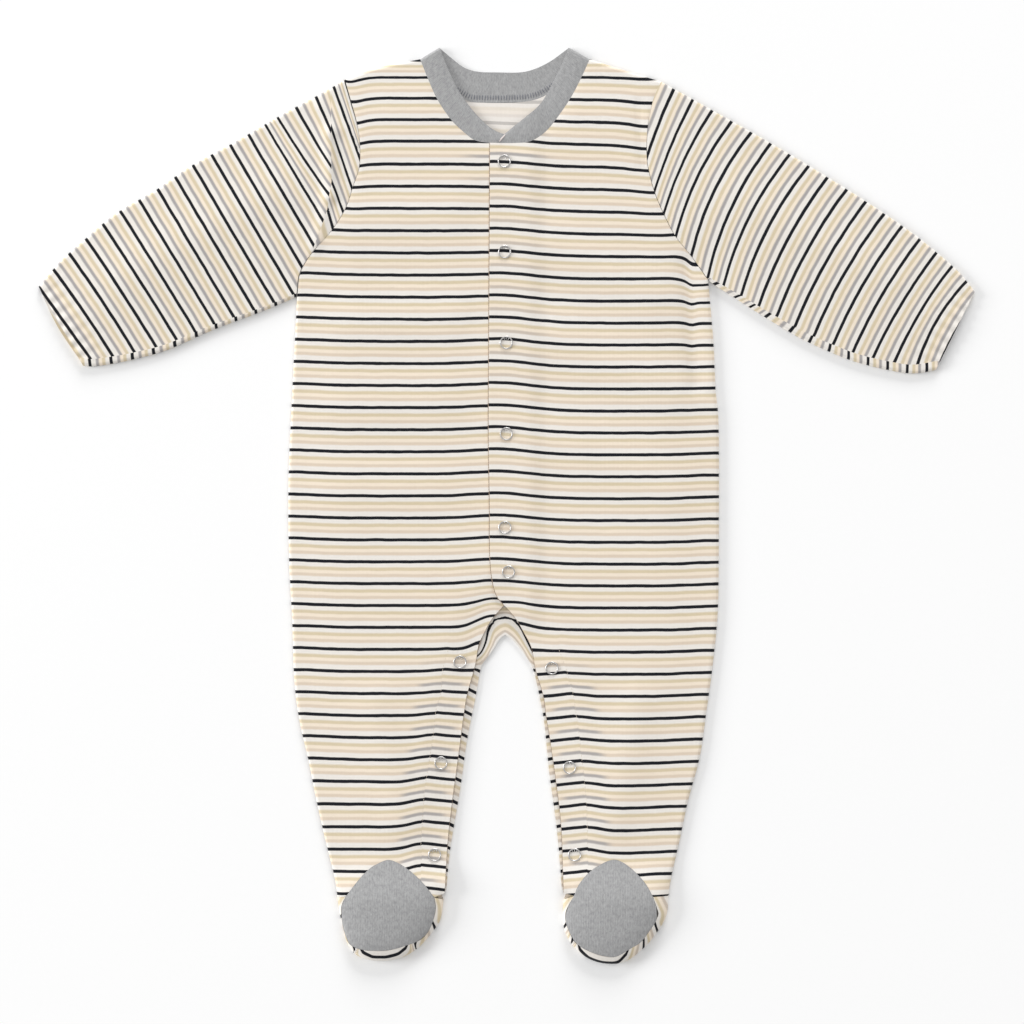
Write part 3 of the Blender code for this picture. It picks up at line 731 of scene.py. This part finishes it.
SIDE_LIFT_END = (-210, 60)  # and on the right down to the ankle alone: end, fade
BENDS = {  # columns x, y, reach along x, reach along y, rise
    "right": [(-8, -74, 12.5, 17, 6.8), (-18, -92, 8, 14, 2.6), (-100, 250, 9, 45, -2.6),
              (-104, 279, 6, 7, -1.6), (-57, 150, 34, 90, -0.4)],
    "left": [(6, -75, 12, 14, 2.0), (128, 154, 11, 16, -6.5), (132, 118, 16, 42, -1.5),
             (121, 141, 3.5, 40, -1.6), (95, 240, 18, 45, -3.0), (104, 190, 16, 32, -1.0),
             (68, 190, 26, 90, -0.4)],
}


def front_weave(side):
    """Where the points of a front are in its weave."""
    turn = -1 if side == "right" else 1

    def weave(points):
        x, y = points.T
        rise = np.interp(y, *np.array(PLACKET_LIFT[side]).T)
        middle, reach = PLACKET_LIFT_AT[side]
        rise *= bell(x - middle, reach)
        outer = np.array(SIDE[side][::-1])
        from_side = np.interp(y, outer[:, 1], outer[:, 0]) - x
        fade = ease((y - SIDE_LIFT_END[0]) / SIDE_LIFT_END[1]) if side == "right" else 1
        rise += SIDE_LIFT * fade * bell(from_side, SIDE_LIFT_REACH)
        stitch = np.array(LEG_STITCH[side][::-1])
        outwards = (x - np.interp(y, stitch[:, 1], stitch[:, 0])) * turn
        peak = np.interp(y, *np.array(LEG_LIFT[side]).T)
        step = LEG_STEP * ease((LEG_STEP_TOP[0] - y) / LEG_STEP_TOP[1])
        sloping = (peak - step) * bell(outwards, LEG_LIFT_REACH)
        placket = (peak + LEG_SLOPE * outwards) * ease((LEG_LIFT_TOP[0] - y) / LEG_LIFT_TOP[1])
        rise += np.where(outwards > 0, sloping, placket)
        for bend_x, bend_y, reach_x, reach_y, bend in BENDS[side]:
            rise += bend * bell(x - bend_x, reach_x) * bell(y - bend_y, reach_y)
        return np.stack([x, body_number(side, y - rise) * REPEAT], axis=1)

    return weave


GREY_SHARE = 0.8  # how much greyer the second stripe is,
GREY_TOP = (205, 20)  # beside the front opening at the neck: lower end, fade
GREY_CHEST = (70, 25, 0.45)  # and on the left front down to the chest: lower end, fade, share
GREY_LEG = (-95, 25)  # and down the leg plackets: upper end, fade


def front_greyness(points):
    """How grey the second stripe is: more by the front opening's top and down the leg plackets."""
    x, y = points.T
    opening = np.exp(-(((np.abs(x) - 4) / 22) ** 4))
    low, fade, share = GREY_CHEST
    chest = share * (x > OPENING[0][0]) * ease((y - low) / fade)
    beside = opening * np.maximum(ease((y - GREY_TOP[0]) / GREY_TOP[1]), chest)
    leg = (1 - ease((distance(points, PLACKETS) - 10) / 8)) * ease((GREY_LEG[0] - y) / GREY_LEG[1])
    return 0.02 + GREY_SHARE * np.maximum(beside, leg)


FRONT_STEP = 1.9  # from one row of the mesh to the next
FRONT_COLUMNS = 72

for side, height in (("right", upper), ("left", over)):
    armhole_length = Line(ARMHOLE[side]).length
    outer = Line(ARMHOLE[side], SIDE[side])
    rows = np.concatenate([
        spread(armhole_length, FRONT_STEP, TURN)[:-1],
        armhole_length + spread(outer.length - armhole_length, FRONT_STEP, [0], [0, 1]),
    ])
    neck_end = UNDERLAP[0] if side == "right" else OPENING[0]
    opening = UNDERLAP if side == "right" else OPENING
    plan = patch(
        left=outer,
        right=Line(opening, INSEAM[side]),
        rows=rows,
        columns=across(FRONT_COLUMNS, TURN, (0, 0.8)),
        top=Line(SHOULDER[side], [*NECK_SEAM[side][:-1], neck_end]),
        bottom=Line([SIDE[side][-1], TOE_CAP_UPPER[side][0]], TOE_CAP_UPPER[side],
                    [TOE_CAP_UPPER[side][-1], INSEAM[side][-1]]),
        top_run=4,
        bottom_run=9,
    )
    grey = front_greyness(plan.reshape(-1, 2))
    cloth(
        f"front_panel_{side}",
        [panel(plan, height, front_weave(side), grey)],
        [jersey_outside, jersey_inside],
    )
    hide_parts(f"front_{side}")


# Sleeves: each is one piece of the striped jersey, sewn into a tube whose seam runs along the
# underside, a little inside the edge, and set into the armhole. The cuffs are lightly gathered.
# The right sleeve is laid with a pleat beside its armhole.

SLEEVE_STRIPES = {  # columns number from the shoulder, x and y near the top edge, x and y near the
    # lower one, and how far the stripe bows towards the shoulder
    "right": [
        (-3, -69, 298, -22, 215, 0), (0, -106.8, 278, -87.8, 199, 0),
        (1, -113.1, 274.3, -91, 216, -1.3), (2, -124.6, 267.8, -100.8, 216, -0.4),
        (3, -137.5, 260.5, -109.5, 214, -0.5), (4, -149.9, 254.2, -113, 199.5, -0.8),
        (5, -157.9, 249.9, -115, 178.5, 0), (6, -169.4, 244, -116, 153.6, 0),
        (8, -193.1, 230.2, -138.8, 137.7, 0), (11, -228.7, 208.3, -177.4, 122.2, 0),
        (14, -263.7, 184, -216.5, 110.1, 0.5), (16, -286.5, 166, -243.3, 100.9, 0.8),
        (17, -296.2, 154.7, -257.2, 97.6, 0.8), (18, -305.6, 143.1, -271.7, 95.9, 0),
        (21, -331, 106, -316, 84, 0),
    ],
    "left": [
        (-3, 70, 294, 60, 270, 0), (0, 109.5, 272.8, 92, 228.2, 0.8),
        (1, 122.1, 266.2, 96.5, 205, 1.5), (2, 134.5, 258.7, 102.5, 190, 3),
        (3, 147.3, 251.5, 110.5, 175.8, 4.3), (4, 160.1, 244.4, 120.5, 162.2, 5.2),
        (5, 173.1, 237.4, 131.6, 149, 5.5), (6, 185.6, 230.2, 141.6, 143, 5.5),
        (7, 198, 222.7, 153.7, 138.4, 5), (8, 210.3, 215.5, 165.2, 131.6, 3.8),
        (10, 235.4, 199.6, 189, 118.3, 3.2), (13, 270.7, 175, 226.7, 100.9, 2.8),
        (14, 281.4, 166, 239.7, 97.1, 2.3), (15, 291.4, 157, 253.4, 93.8, 2.4),
        (16, 301.1, 147.3, 268.6, 92.2, 3.9), (17, 309, 137, 282.3, 90.5, 2),
        (20, 340, 104, 320, 84, 1),
    ],
}
PLEAT = [(-114.5, 290), (-114.7, 247.7), (-114.3, 212), (-117, 194), (-121, 182), (-127.8, 164.4)]
PLEAT_STRIPES = [  # the same between the pleat and the armhole
    (-1, -125, 420, -90, 310, 0), (-0.1, -125, 351.7, -90, 229.4, 0),
    (0, -125, 346.8, -90, 224.5, 0), (0.1, -125, 341.9, -90, 219.6, 0),
    (0.9, -125, 310.6, -90, 215.4, 0), (1, -125, 306.9, -90, 211.7, 0),
    (1.1, -125, 303.2, -90, 208, 0), (2, -125, 277.9, -90, 175, 0),
    (3, -125, 239, -90, 149.3, 0), (4, -125, 223, -90, 104, 0), (5, -125, 153.8, -90, 34.8, 0),
    (8, -125, 50, -90, -70, 0),
]
UNDER_SEAM = {  # the seam's distance inside the lower edge: columns x, distance
    "right": [(-275, 4.6), (-215, 3.2), (-175, 2.2), (-138, 1.6)],
    "left": [(132, 1.8), (160, 3.2), (200, 4.4), (270, 5.4)],
}
UNDER_STRIPES = {  # the stripes beyond that seam: columns x at the edge, number
    "right": [(-289.3, 19.3), (-272.3, 18), (-202.8, 13), (-138, 8), (-119, 6.5)],
    "left": [(125, 5.2), (149.3, 7), (169.2, 9), (185.3, 10), (274.8, 17), (290, 18.2)],
}
UNDER_LEAN = {  # how far they lean, for each step inwards: columns x, lean
    "right": [(-300, 0.1), (-100, 0.1)],
    "left": [(150, 1.3), (225, 0)],
}
UNDER_SHIFT = {"right": 0, "left": -0.3}  # how far the under layer is out of step, in repeats
CUFF_BULGE = {"right": 2.2, "left": 0.3}  # how far the under layer shows past the upper one
CUFF_WAY = (0.87, 0.49)  # the way along a sleeve
SLEEVE_GREYNESS = 0.9
SLEEVE_STEP = 1.5  # from one row of the mesh to the next
SLEEVE_COLUMNS = 76
UNDER_TURN = (0, 0.25, 0.6, 1.0, 1.6, 2.6, 3.6, 4.4, 6)  # columns kept near the seamed edge
HALVINGS = 26  # enough to place a point between its stripes


def between_stripes(points, stripes_table, turn):
    """Where points are in the weave: along their stripe, and across from the shoulder."""
    table = np.array(stripes_table)
    low = np.full(len(points), table[0, 0])
    high = np.full(len(points), table[-1, 0])
    for _ in range(HALVINGS):
        number = (low + high) / 2
        top_x, top_y, end_x, end_y, bow = (
            np.interp(number, table[:, 0], table[:, column]) for column in range(1, 6)
        )
        run_x, run_y = end_x - top_x, end_y - top_y
        length = np.hypot(run_x, run_y)
        away_x, away_y = points[:, 0] - top_x, points[:, 1] - top_y
        share = np.clip((away_x * run_x + away_y * run_y) / length**2, 0, 1)
        side_step = (away_y * run_x - away_x * run_y) / length * turn
        too_far = side_step - bow * 4 * share * (1 - share) > 0
        low, high = np.where(too_far, low, number), np.where(too_far, number, high)
    along = (away_x * run_x + away_y * run_y) / length
    return np.stack([along, (low + high) / 2 * REPEAT], axis=1)


for side, turn in (("right", 1), ("left", -1)):
    over_arm = Line(SLEEVE_TOP[side][::-1])
    under_line = segments(Line(SLEEVE_UNDER[side]))
    plan = patch(
        left=over_arm,
        right=Line(SLEEVE_UNDER[side][::-1]),
        rows=spread(over_arm.length, SLEEVE_STEP, [SEAM], [0, 0.7]),
        columns=across(SLEEVE_COLUMNS, TURN, UNDER_TURN),
        top=Line(ARMHOLE[side]),
        top_run=3,
    )
    places = plan.reshape(-1, 2)
    weave = between_stripes(places, SLEEVE_STRIPES[side], turn)
    inside = distance(places, under_line)
    inside_seam = np.interp(places[:, 0], *np.array(UNDER_SEAM[side]).T) - inside
    lean = np.interp(places[:, 0], *np.array(UNDER_LEAN[side]).T)
    foot = places[:, 0] + lean * turn * inside
    under_number = np.interp(foot, *np.array(UNDER_STRIPES[side]).T)
    beyond = np.stack([places[:, 1], under_number * REPEAT], axis=1)
    past = inside_seam.copy()
    if side == "right":
        pleat = np.array(PLEAT[::-1])
        past_pleat = places[:, 0] - np.interp(places[:, 1], pleat[:, 1], pleat[:, 0])
        strip = between_stripes(places, PLEAT_STRIPES, turn)
        beyond = np.where((past_pleat > inside_seam)[:, None], strip, beyond)
        past = np.maximum(past, past_pleat)
    top = panel(plan, upper, weave, SLEEVE_GREYNESS, beyond, past)
    under = plan[:, ::-1].copy()
    bulge = CUFF_BULGE[side] * np.sin(np.pi * np.linspace(0, 1, under.shape[1])) ** 1.2
    reach = np.linspace(0, 1, len(under)) ** 12
    under[:, :, 0] -= turn * reach[:, None] * bulge * CUFF_WAY[0]
    under[:, :, 1] -= reach[:, None] * bulge * CUFF_WAY[1]
    under_weave = between_stripes(under.reshape(-1, 2), SLEEVE_STRIPES[side], turn)
    under_weave[:, 1] += UNDER_SHIFT[side] * REPEAT
    bottom = panel(under, flat, under_weave, SLEEVE_GREYNESS)
    cloth(
        f"sleeve_panel_{side}",
        [top, bottom],
        [jersey_outside, jersey_inside],
        tube=True,
    )
    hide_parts(f"sleeve_{side}")


# Neckband: one strip of heather-grey rib, folded double, sewn round the neck. Its ends lap over
# each other at the front opening, the left one on top.

BAND_WALL = 1.1
BAND_CROWN = 0.35  # how much higher the band is along its middle
BAND_STEP = 1.2  # from one row of the mesh to the next
BAND_COLUMNS = 12
RIB_PITCH = 1.1  # from one ridge to the next
RIB_DEPTH = 0.2  # relief of the ridges
RIB = srgb(178, 178, 178)
RIB_DARK = srgb(142, 142, 143)

BACK_NECK_EDGE = [(-43.7, 299.6), (-35.7, 292.8), (-27.5, 286.8), (-18.2, 284.1), (-5.4, 283.7),
                  (8.4, 283.7), (18.4, 285.9), (29.4, 291.4), (40.5, 299.6)]


def rib(name):
    """Heather-grey rib: fine ridges across the weave, with fibres of lighter and darker grey, and
    painted shade that darkens the valleys between the ridges.
    """
    finish = Finish(
        name, Roughness=0.95, Specular_IOR_Level=0.12, Sheen_Weight=0.15, Sheen_Roughness=0.5
    )
    place, along, over = finish.weave_place()
    stretched = finish.node(
        "ShaderNodeVectorMath", {"operation": "MULTIPLY"}, {0: place, 1: (1.0, 0.45, 1.0)}
    )
    fibres = finish.noise(stretched, 900, 5, 0.75)
    patchy = finish.noise(place, 260, 3, 0.6)
    ridge = (along / (RIB_PITCH * MM) + (patchy - 0.5) * 0.5).wave()
    row = (over / (STITCH_HIGH * MM) + abs(ridge) * 0.3).wave()
    # The valleys between the ridges are painted a little darker and their tops lighter: painted
    # shade that follows the relief.
    share = 0.5 + 2.6 * (fibres - 0.5) + 0.8 * (patchy - 0.5) - 0.13 * ridge
    colour = finish.mix(share, (*RIB, 1), (*RIB_DARK, 1))
    finish.surface(colour, 0.5 + 0.14 * ridge + 0.08 * row + 0.4 * (fibres - 0.5), RIB_DEPTH)
    return finish.material


grey_rib = rib("heather grey rib")

across_band = across(BAND_COLUMNS, [SEAM], [0, 0.5, 1])
bands = []
for side, height in (("right", upper), ("left", over)):
    seam = Line(NECK_SEAM[side])
    rows = spread(seam.length, BAND_STEP, TURN, [0, 0.5])
    bands.append((patch(seam, Line(NECK_EDGE[side]), rows, across_band), rows, height))
right_seam, left_seam = BACK_NECK_SEAM["right"], BACK_NECK_SEAM["left"]
back_seam = Line(right_seam[:-1], [right_seam[-2], *left_seam[-2::-1]])
back_rows = spread(back_seam.length, BAND_STEP, (0, 0.4, ROLL), (0, 0.4, ROLL))
behind = patch(back_seam, Line(BACK_NECK_EDGE), back_rows, across_band)
bands.append((behind, back_rows, flat))
panels = []
for plan, rows, height in bands:
    shares = np.linspace(0, 1, plan.shape[1])
    widths = np.linalg.norm(plan[:, 0] - plan[:, -1], axis=1)
    weave = np.stack(np.broadcast_arrays(rows[:, None], shares[None] * widths[:, None]), axis=2)
    crown = BAND_CROWN * np.sin(np.pi * shares) * (height is not flat)
    lift = height(plan.reshape(-1, 2)).reshape(plan.shape[:2]) + crown
    panels.append(panel(plan, lift, weave, 0))
for end, front in ((0, panels[0]), (-1, panels[1])):
    panels[2][end, :, :3] = front[0, :, :3]
neckband = cloth("neckband_strip", panels, [grey_rib], wall=BAND_WALL)
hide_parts("neckband")


# Feet: each has a toe cap of the grey rib, a low dome sewn to the end of the leg, and a sole of the
# striped jersey, whose edge turns up round the cap.

CAP_SIDE = 0.06  # share of the toe cap's lower seam that is its side
CAP_SIZE = 0.995  # which leaves a hair's gap round the cap
CAP_ROWS = 48
SOLE_END = 0.002  # share of its length by which the sole's first row stops short
SOLE_STEP = 0.011  # share from one row of the sole to the next
SOLE_UP = 9  # columns of the sole's edge that turns up,
SOLE_BELOW = 14  # and of the rest, under the foot
HEEL_Y = -253.4
HEEL_SIZE = (0.985, 1.03)  # ends of the heel's edge, as shares of the ankle's ends

TOE_CAP_LOWER = {  # the toe cap's seam to the sole, from the outer side to the inner one
    "right": [(-105, -255), (-107.4, -260.5), (-107.8, -265), (-106.8, -273.9), (-104.6, -281.7),
              (-101.7, -286.6), (-94.8, -289.6), (-83.7, -290.3), (-75.2, -289.6), (-66.7, -287.2),
              (-58.1, -284.2), (-53, -280.4), (-49.4, -274.4), (-47.3, -268.5), (-46.2, -262),
              (-47.2, -255.5)],
    "left": [(95.6, -255), (98.2, -262.5), (99.1, -266.9), (96.3, -272.9), (92.2, -279),
             (87.6, -284.8), (81.6, -288.4), (76.5, -291.6), (70.5, -294.4), (62.8, -293.6),
             (56, -291.5), (49.2, -288.2), (44.1, -284), (41.1, -278), (39, -272), (38.6, -267),
             (40.2, -261.5), (44.2, -254.5)],
}
FOOT_MIDDLE = {"right": (-76, -262), "left": (67.6, -260.8)}
SOLE_STRIPES = {  # where its stripes meet the seam: columns degrees round the foot, number
    "right": [(-110, 2.3), (-82.2, 2.1), (-76.8, 1.9), (-44.5, 1.1), (-39.1, 0.9), (-36.2, 0.1),
              (-30.8, -0.1), (-20, -0.28), (-5, -0.3), (10, -0.25), (21, -0.1), (26.4, 0.1),
              (33.1, 0.9), (38.5, 1.1), (67.5, 1.9), (72.9, 2.1), (110, 2.3)],
    "left": [(-110, 2.3), (-69.6, 2.1), (-64.2, 1.9), (-50.6, 1.1), (-45.2, 0.9), (-40.1, 0.1),
             (-34.7, -0.1), (-22, -0.28), (-8, -0.3), (8, -0.26), (18.5, -0.1), (23.9, 0.1),
             (42.2, 0.9), (47.6, 1.1), (65.9, 1.9), (71.3, 2.1), (110, 2.3)],
}
SOLE_TAPER = 14  # how far below the seam the next stripe is


def sole_weave(side):
    """The sole's stripes cross the foot, and bunch up where it is gathered to the toe cap."""
    seam = segments(Line(TOE_CAP_LOWER[side]))

    def weave(points):
        x, y = (points - FOOT_MIDDLE[side]).T
        round_foot = np.interp(np.degrees(np.arctan2(x, -y)), *np.array(SOLE_STRIPES[side]).T)
        number = round_foot + distance(points, seam) / SOLE_TAPER
        return np.stack([x, number * REPEAT], axis=1)

    return weave


def cap_weave(points):
    """The toe cap's ridges run from the ankle to the toe."""
    return points


toe_caps, soles = {}, {}
for side in ("right", "left"):
    rim = Line(TOE_CAP_LOWER[side])
    outer_side = Line([rim.at(0), rim.at(CAP_SIDE)])
    cap = patch(
        left=outer_side,
        right=Line([rim.at(1), rim.at(1 - CAP_SIDE)]),
        rows=np.linspace(0, outer_side.length, CAP_ROWS),
        columns=across(CAP_ROWS, [SEAM], [SEAM]),
        top=Line(TOE_CAP_UPPER[side]),
        bottom=Line([rim.at(share) for share in np.linspace(CAP_SIDE, 1 - CAP_SIDE, 12)]),
    )
    middle = cap.reshape(-1, 2).mean(axis=0)
    cap = middle + (cap - middle) * CAP_SIZE
    toe_caps[side] = cloth(
        f"toe_cap_rib_{side}", [panel(cap, upper, cap_weave, 0)], [grey_rib]
    )
    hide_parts(f"toe_cap_{side}")

    edge = Line(TOE[side])
    around = spread(1, SOLE_STEP, [SOLE_END], [SOLE_END])
    heel = Line([(edge.at(end)[0] * size, HEEL_Y) for end, size in enumerate(HEEL_SIZE)])
    turned_up, below = [], []
    for share in around:
        seam, fold = rim.at(share), edge.at(share)
        outwards = 1 - (1 - np.linspace(0, 1, SOLE_UP)) ** 1.8
        turned_up.append(seam + (fold - seam) * outwards[:, None])
        inwards = np.linspace(0.04, 1, SOLE_BELOW)
        below.append(fold + (heel.at(share) - fold) * inwards[:, None])
    plan = np.concatenate([turned_up, below], axis=1)
    risen = upper(np.array(turned_up).reshape(-1, 2)).reshape(len(around), -1)
    heights = np.concatenate([risen, np.full((len(around), SOLE_BELOW), FLOOR)], axis=1)
    soles[side] = cloth(
        f"sole_panel_{side}",
        [panel(plan, heights, sole_weave(side), BACK_GREYNESS)],
        [jersey_outside, jersey_inside],
        tube=True,
    )
    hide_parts(f"sole_{side}")


# Stitching, and painted marks drawn as thread: a painted brown shadow line along the free edges of
# the fronts, tan thread down each leg placket, the grey overlock stitches inside the back of the
# neck, and a painted highlight, a pale strip on the turned edge of the neckband's left end.

TWIST_DEPTH = 0.08  # relief of a thread's twist


def thread(name, colour, dark):
    """Twisted sewing thread; the same finish also draws the painted shadow lines and the painted
    highlight.
    """
    finish = Finish(name, Roughness=0.8, Sheen_Weight=0.1)
    place = finish.node("ShaderNodeTexCoord", output="Object")
    twist = finish.node(
        "ShaderNodeTexWave",
        {"wave_type": "BANDS", "bands_direction": "DIAGONAL"},
        {"Vector": place, "Scale": 900, "Distortion": 0.5},
        output="Fac",
    )
    finish.surface(finish.mix(twist * 0.5, (*colour, 1), (*dark, 1)), twist, TWIST_DEPTH)
    return finish.material


def stitches(name, line, height, finish, step, length, width, turned=False, rise=0.6):
    """A row of stitches along a line, each a short rounded thread; turned puts them across it.

    step is from one to the next. rise is how far their middle is above the middle of the cloth.
    """
    bm = bmesh.new()
    shares = (np.arange(int(line.length / step)) + 0.5) * step / line.length
    places = line.at(shares)
    ahead = line.ahead(shares, 0.002)
    for (x, y), (run_x, run_y), z in zip(places, ahead, height(places) + rise):
        angle = math.atan2(run_y, run_x) + (math.pi / 2 if turned else 0)
        turn = Matrix.Rotation(angle, 4, "Z") @ Matrix.Diagonal((length, width, width * 0.8, 1))
        bmesh.ops.create_uvsphere(
            bm, u_segments=6, v_segments=5, radius=0.5,
            matrix=Matrix.Translation((x, y, z)) @ turn @ Matrix.Rotation(math.pi / 2, 4, "Y"),
        )
    return add(name, bm, [finish])


# Brown strokes that stand in for the shade beside the fronts' edges: painted shadow, not a real
# thread.
painted_edge_shadow = thread("painted edge shadow", srgb(150, 130, 112), srgb(118, 100, 86))
tan_thread = thread("tan thread", srgb(214, 200, 182), srgb(188, 172, 152))
grey_thread = thread("grey thread", srgb(120, 122, 130), srgb(86, 88, 96))
# A pale colour that stands for the highlight on the neckband's turned end: painted highlight.
painted_band_highlight = thread("painted band highlight", srgb(222, 212, 208), srgb(200, 190, 186))

# The overlock rows here are painted shadow lines: brown strokes sunk a little into the cloth along
# the left front's opening and each front's inseam, where shade falls beside the edge.
for name, line, height, wide, rise in (
    ("front", Line(OPENING).inset(0.1), over, 1.2, -0.75),
    ("leg_right", Line(INSEAM["right"]), upper, 0.5, -0.2),
    ("leg_left", Line(INSEAM["left"]), upper, 0.5, -0.2),
):
    stitches(
        f"overlock_{name}", line, height, painted_edge_shadow,
        step=1.6, length=2.2, width=wide, rise=rise,
    )
for side, height in (("right", upper), ("left", over)):
    stitches(
        f"stitching_leg_{side}", Line(LEG_STITCH[side]), height, tan_thread,
        step=2.6, length=1.9, width=0.3, rise=0.45,
    )
overlock = Line(back_seam.inset(3.2).points[9:-9])
stitches(
    "stitching_neck", overlock, flat, grey_thread,
    step=1.76, length=3.6, width=0.6, turned=True,
)
# The pale strip on the left band's end is a painted highlight on its turned edge.
band_end = Line([(-0.9, 242.4), (-4.6, 238.2)])
stitches(
    "band_end", band_end, over, painted_band_highlight,
    step=band_end.length, length=6.6, width=1.3, rise=0.7,
)


# Snaps: open rings of bright pressed wire, whose prongs grip the cloth inside the ring. Six close
# the front and three close each leg.

RING_WIDE = 8.6
RING_WIRE = 0.85
RING_FLAT = 0.8  # height of the pressed wire as a share of its width
PRONGS = 3
PRONG_TURN = 0.5  # from one prong to the next, in radians
PRONG_INSET = 1.5  # middle of a prong from the ring's outer edge
PRONG_LONG = 1.8
RING_CLEAR = 0.02  # gap between the wire and the cloth

SNAPS = {  # name: columns x, y for each snap
    "front": [(-1.4, 225.2), (-1.2, 166), (-0.1, 106.7), (-0.1, 47.2), (-1, -14), (1.3, -43.1)],
    "leg_right": [(-30.4, -102), (-42.8, -168), (-47, -228)],
    "leg_left": [(29.7, -105.9), (41.2, -171), (44.5, -228)],
}

BRIGHT = srgb(222, 221, 220)
DULL = srgb(184, 182, 181)
BRUSH_DEPTH = 0.03

snap_metal = Finish("snap metal", Metallic=0.9, Roughness=0.3)
brushed = snap_metal.noise(snap_metal.node("ShaderNodeTexCoord", output="Object"), 900, 2)
snap_metal.surface(snap_metal.mix(brushed, (*BRIGHT, 1), (*DULL, 1)), brushed, BRUSH_DEPTH)


def make_snap(name, number, x, y, height):
    bm = bmesh.new()
    bmesh.ops.create_circle(bm, segments=12, radius=RING_WIRE / 2)
    bmesh.ops.rotate(bm, verts=bm.verts, matrix=Matrix.Rotation(math.pi / 2, 3, "X"))
    bmesh.ops.translate(bm, vec=((RING_WIDE - RING_WIRE) / 2, 0, 0), verts=bm.verts)
    bmesh.ops.spin(
        bm, geom=bm.edges[:] + bm.verts[:], axis=(0, 0, 1), angle=2 * math.pi, steps=48,
        use_merge=True,
    )
    for prong in range(PRONGS):
        angle = math.pi / 2 + (prong - 1) * PRONG_TURN
        inset = Matrix.Translation((RING_WIDE / 2 - PRONG_INSET, 0, -0.1))
        lying = Matrix.Rotation(-math.pi / 2, 4, "Y") @ Matrix.Diagonal((0.6, 1, 1, 1))
        bmesh.ops.create_cone(
            bm, cap_ends=True, segments=8, radius1=0.4, radius2=0.12, depth=PRONG_LONG,
            matrix=Matrix.Rotation(angle, 4, "Z") @ inset @ lying,
        )
    bmesh.ops.recalc_face_normals(bm, faces=bm.faces)
    clear = WALL / 2 + RING_CLEAR + RING_WIRE * RING_FLAT / 2
    below = height(np.array([(x + v.co.x, y + v.co.y) for v in bm.verts]))
    for vertex, level in zip(bm.verts, below):
        z = level + clear + vertex.co.z * RING_FLAT
        vertex.co = (x + vertex.co.x, y + vertex.co.y, z)
    made = add(f"ring_{name}_{number}", bm, [snap_metal.material])
    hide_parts(f"snap_{name}_{number}")


for name, places in SNAPS.items():
    height = upper if name == "leg_right" else over
    for number, (x, y) in enumerate(places, 1):
        make_snap(name, number, x, y, height)


# Lists of the rings of each row of snaps, and of the stitching, painted shadow lines and rings on
# each leg and on the left front. Every sheet lies on the one below, and the back lies on the
# surface.

rings = {
    name: [f"ring_{name}_{number}" for number in range(1, len(places) + 1)]
    for name, places in SNAPS.items()
}
for side in ("right", "left"):
    # The overlock rows in these lists are painted shadow lines; the rest are stitching and snap
    # rings.
    stitching_rings_and_shadow_lines = [f"overlock_leg_{side}", f"stitching_leg_{side}", *rings[f"leg_{side}"]]
    if side == "left":
        stitching_rings_and_shadow_lines += ["overlock_front", *rings["front"]]


# Surface, light and camera: a white sheet, an even white light all round with two low, broad
# windows beyond the right side and the neck, and a camera that looks straight down.

PAPER = (0.935, 0.945)  # the darkest and lightest of its grain
PAPER_REACH = 3  # from its middle to each edge, in metres
PAPER_DROP = -0.0002  # which keeps the cloth clear of it
WORLD_LIGHT = 0.63
WINDOW_SIZE = (6, 3.4)
WINDOW_HIGH = 3.2
WINDOW_LIGHT = 1330
FRAME_WIDE = 0.6693  # what the picture takes in, at the height of the cloth
CLOTH_HIGH = 0.003
LENS = 100
SENSOR = 36

paper = Finish("white paper", Roughness=0.9, Specular_IOR_Level=0.0)
grain = paper.noise(paper.node("ShaderNodeTexCoord", output="Object"), 300, 2)
paper.link(
    paper.shader.inputs["Base Color"], paper.mix(grain, *((tone, tone, tone, 1) for tone in PAPER))
)
bm = bmesh.new()
bmesh.ops.create_grid(bm, x_segments=1, y_segments=1, size=PAPER_REACH)
bmesh.ops.translate(bm, vec=(0, 0, PAPER_DROP), verts=bm.verts)
mesh = bpy.data.meshes.new("floor")
bm.to_mesh(mesh)
bm.free()
mesh.materials.append(paper.material)
floor = bpy.data.objects.new("floor", mesh)
bpy.context.scene.collection.objects.link(floor)

world = bpy.data.worlds.new("studio")
world.use_nodes = True
world.node_tree.nodes["Background"].inputs["Color"].default_value = (1, 1, 1, 1)
world.node_tree.nodes["Background"].inputs["Strength"].default_value = WORLD_LIGHT
bpy.context.scene.world = world

for name, x, y in (("window_left", -12, 1.5), ("window_top", 1.5, 12)):
    lamp = bpy.data.lights.new(name, "AREA")
    lamp.shape = "RECTANGLE"
    lamp.size, lamp.size_y = WINDOW_SIZE
    lamp.energy = WINDOW_LIGHT
    window = bpy.data.objects.new(name, lamp)
    spot = Matrix.Translation((x, y, WINDOW_HIGH))
    facing_middle = spot.to_translation().to_track_quat("Z", "Y").to_matrix().to_4x4()
    window.matrix_world = spot @ facing_middle
    bpy.context.scene.collection.objects.link(window)

camera_data = bpy.data.cameras.new("camera")
camera_data.lens = LENS
camera_data.sensor_width = SENSOR
camera = bpy.data.objects.new("camera", camera_data)
camera.location = (0.0036, -0.0039, FRAME_WIDE * LENS / SENSOR + CLOTH_HIGH)
bpy.context.scene.collection.objects.link(camera)
bpy.context.scene.camera = camera
bpy.context.scene.view_settings.view_transform = "Standard"
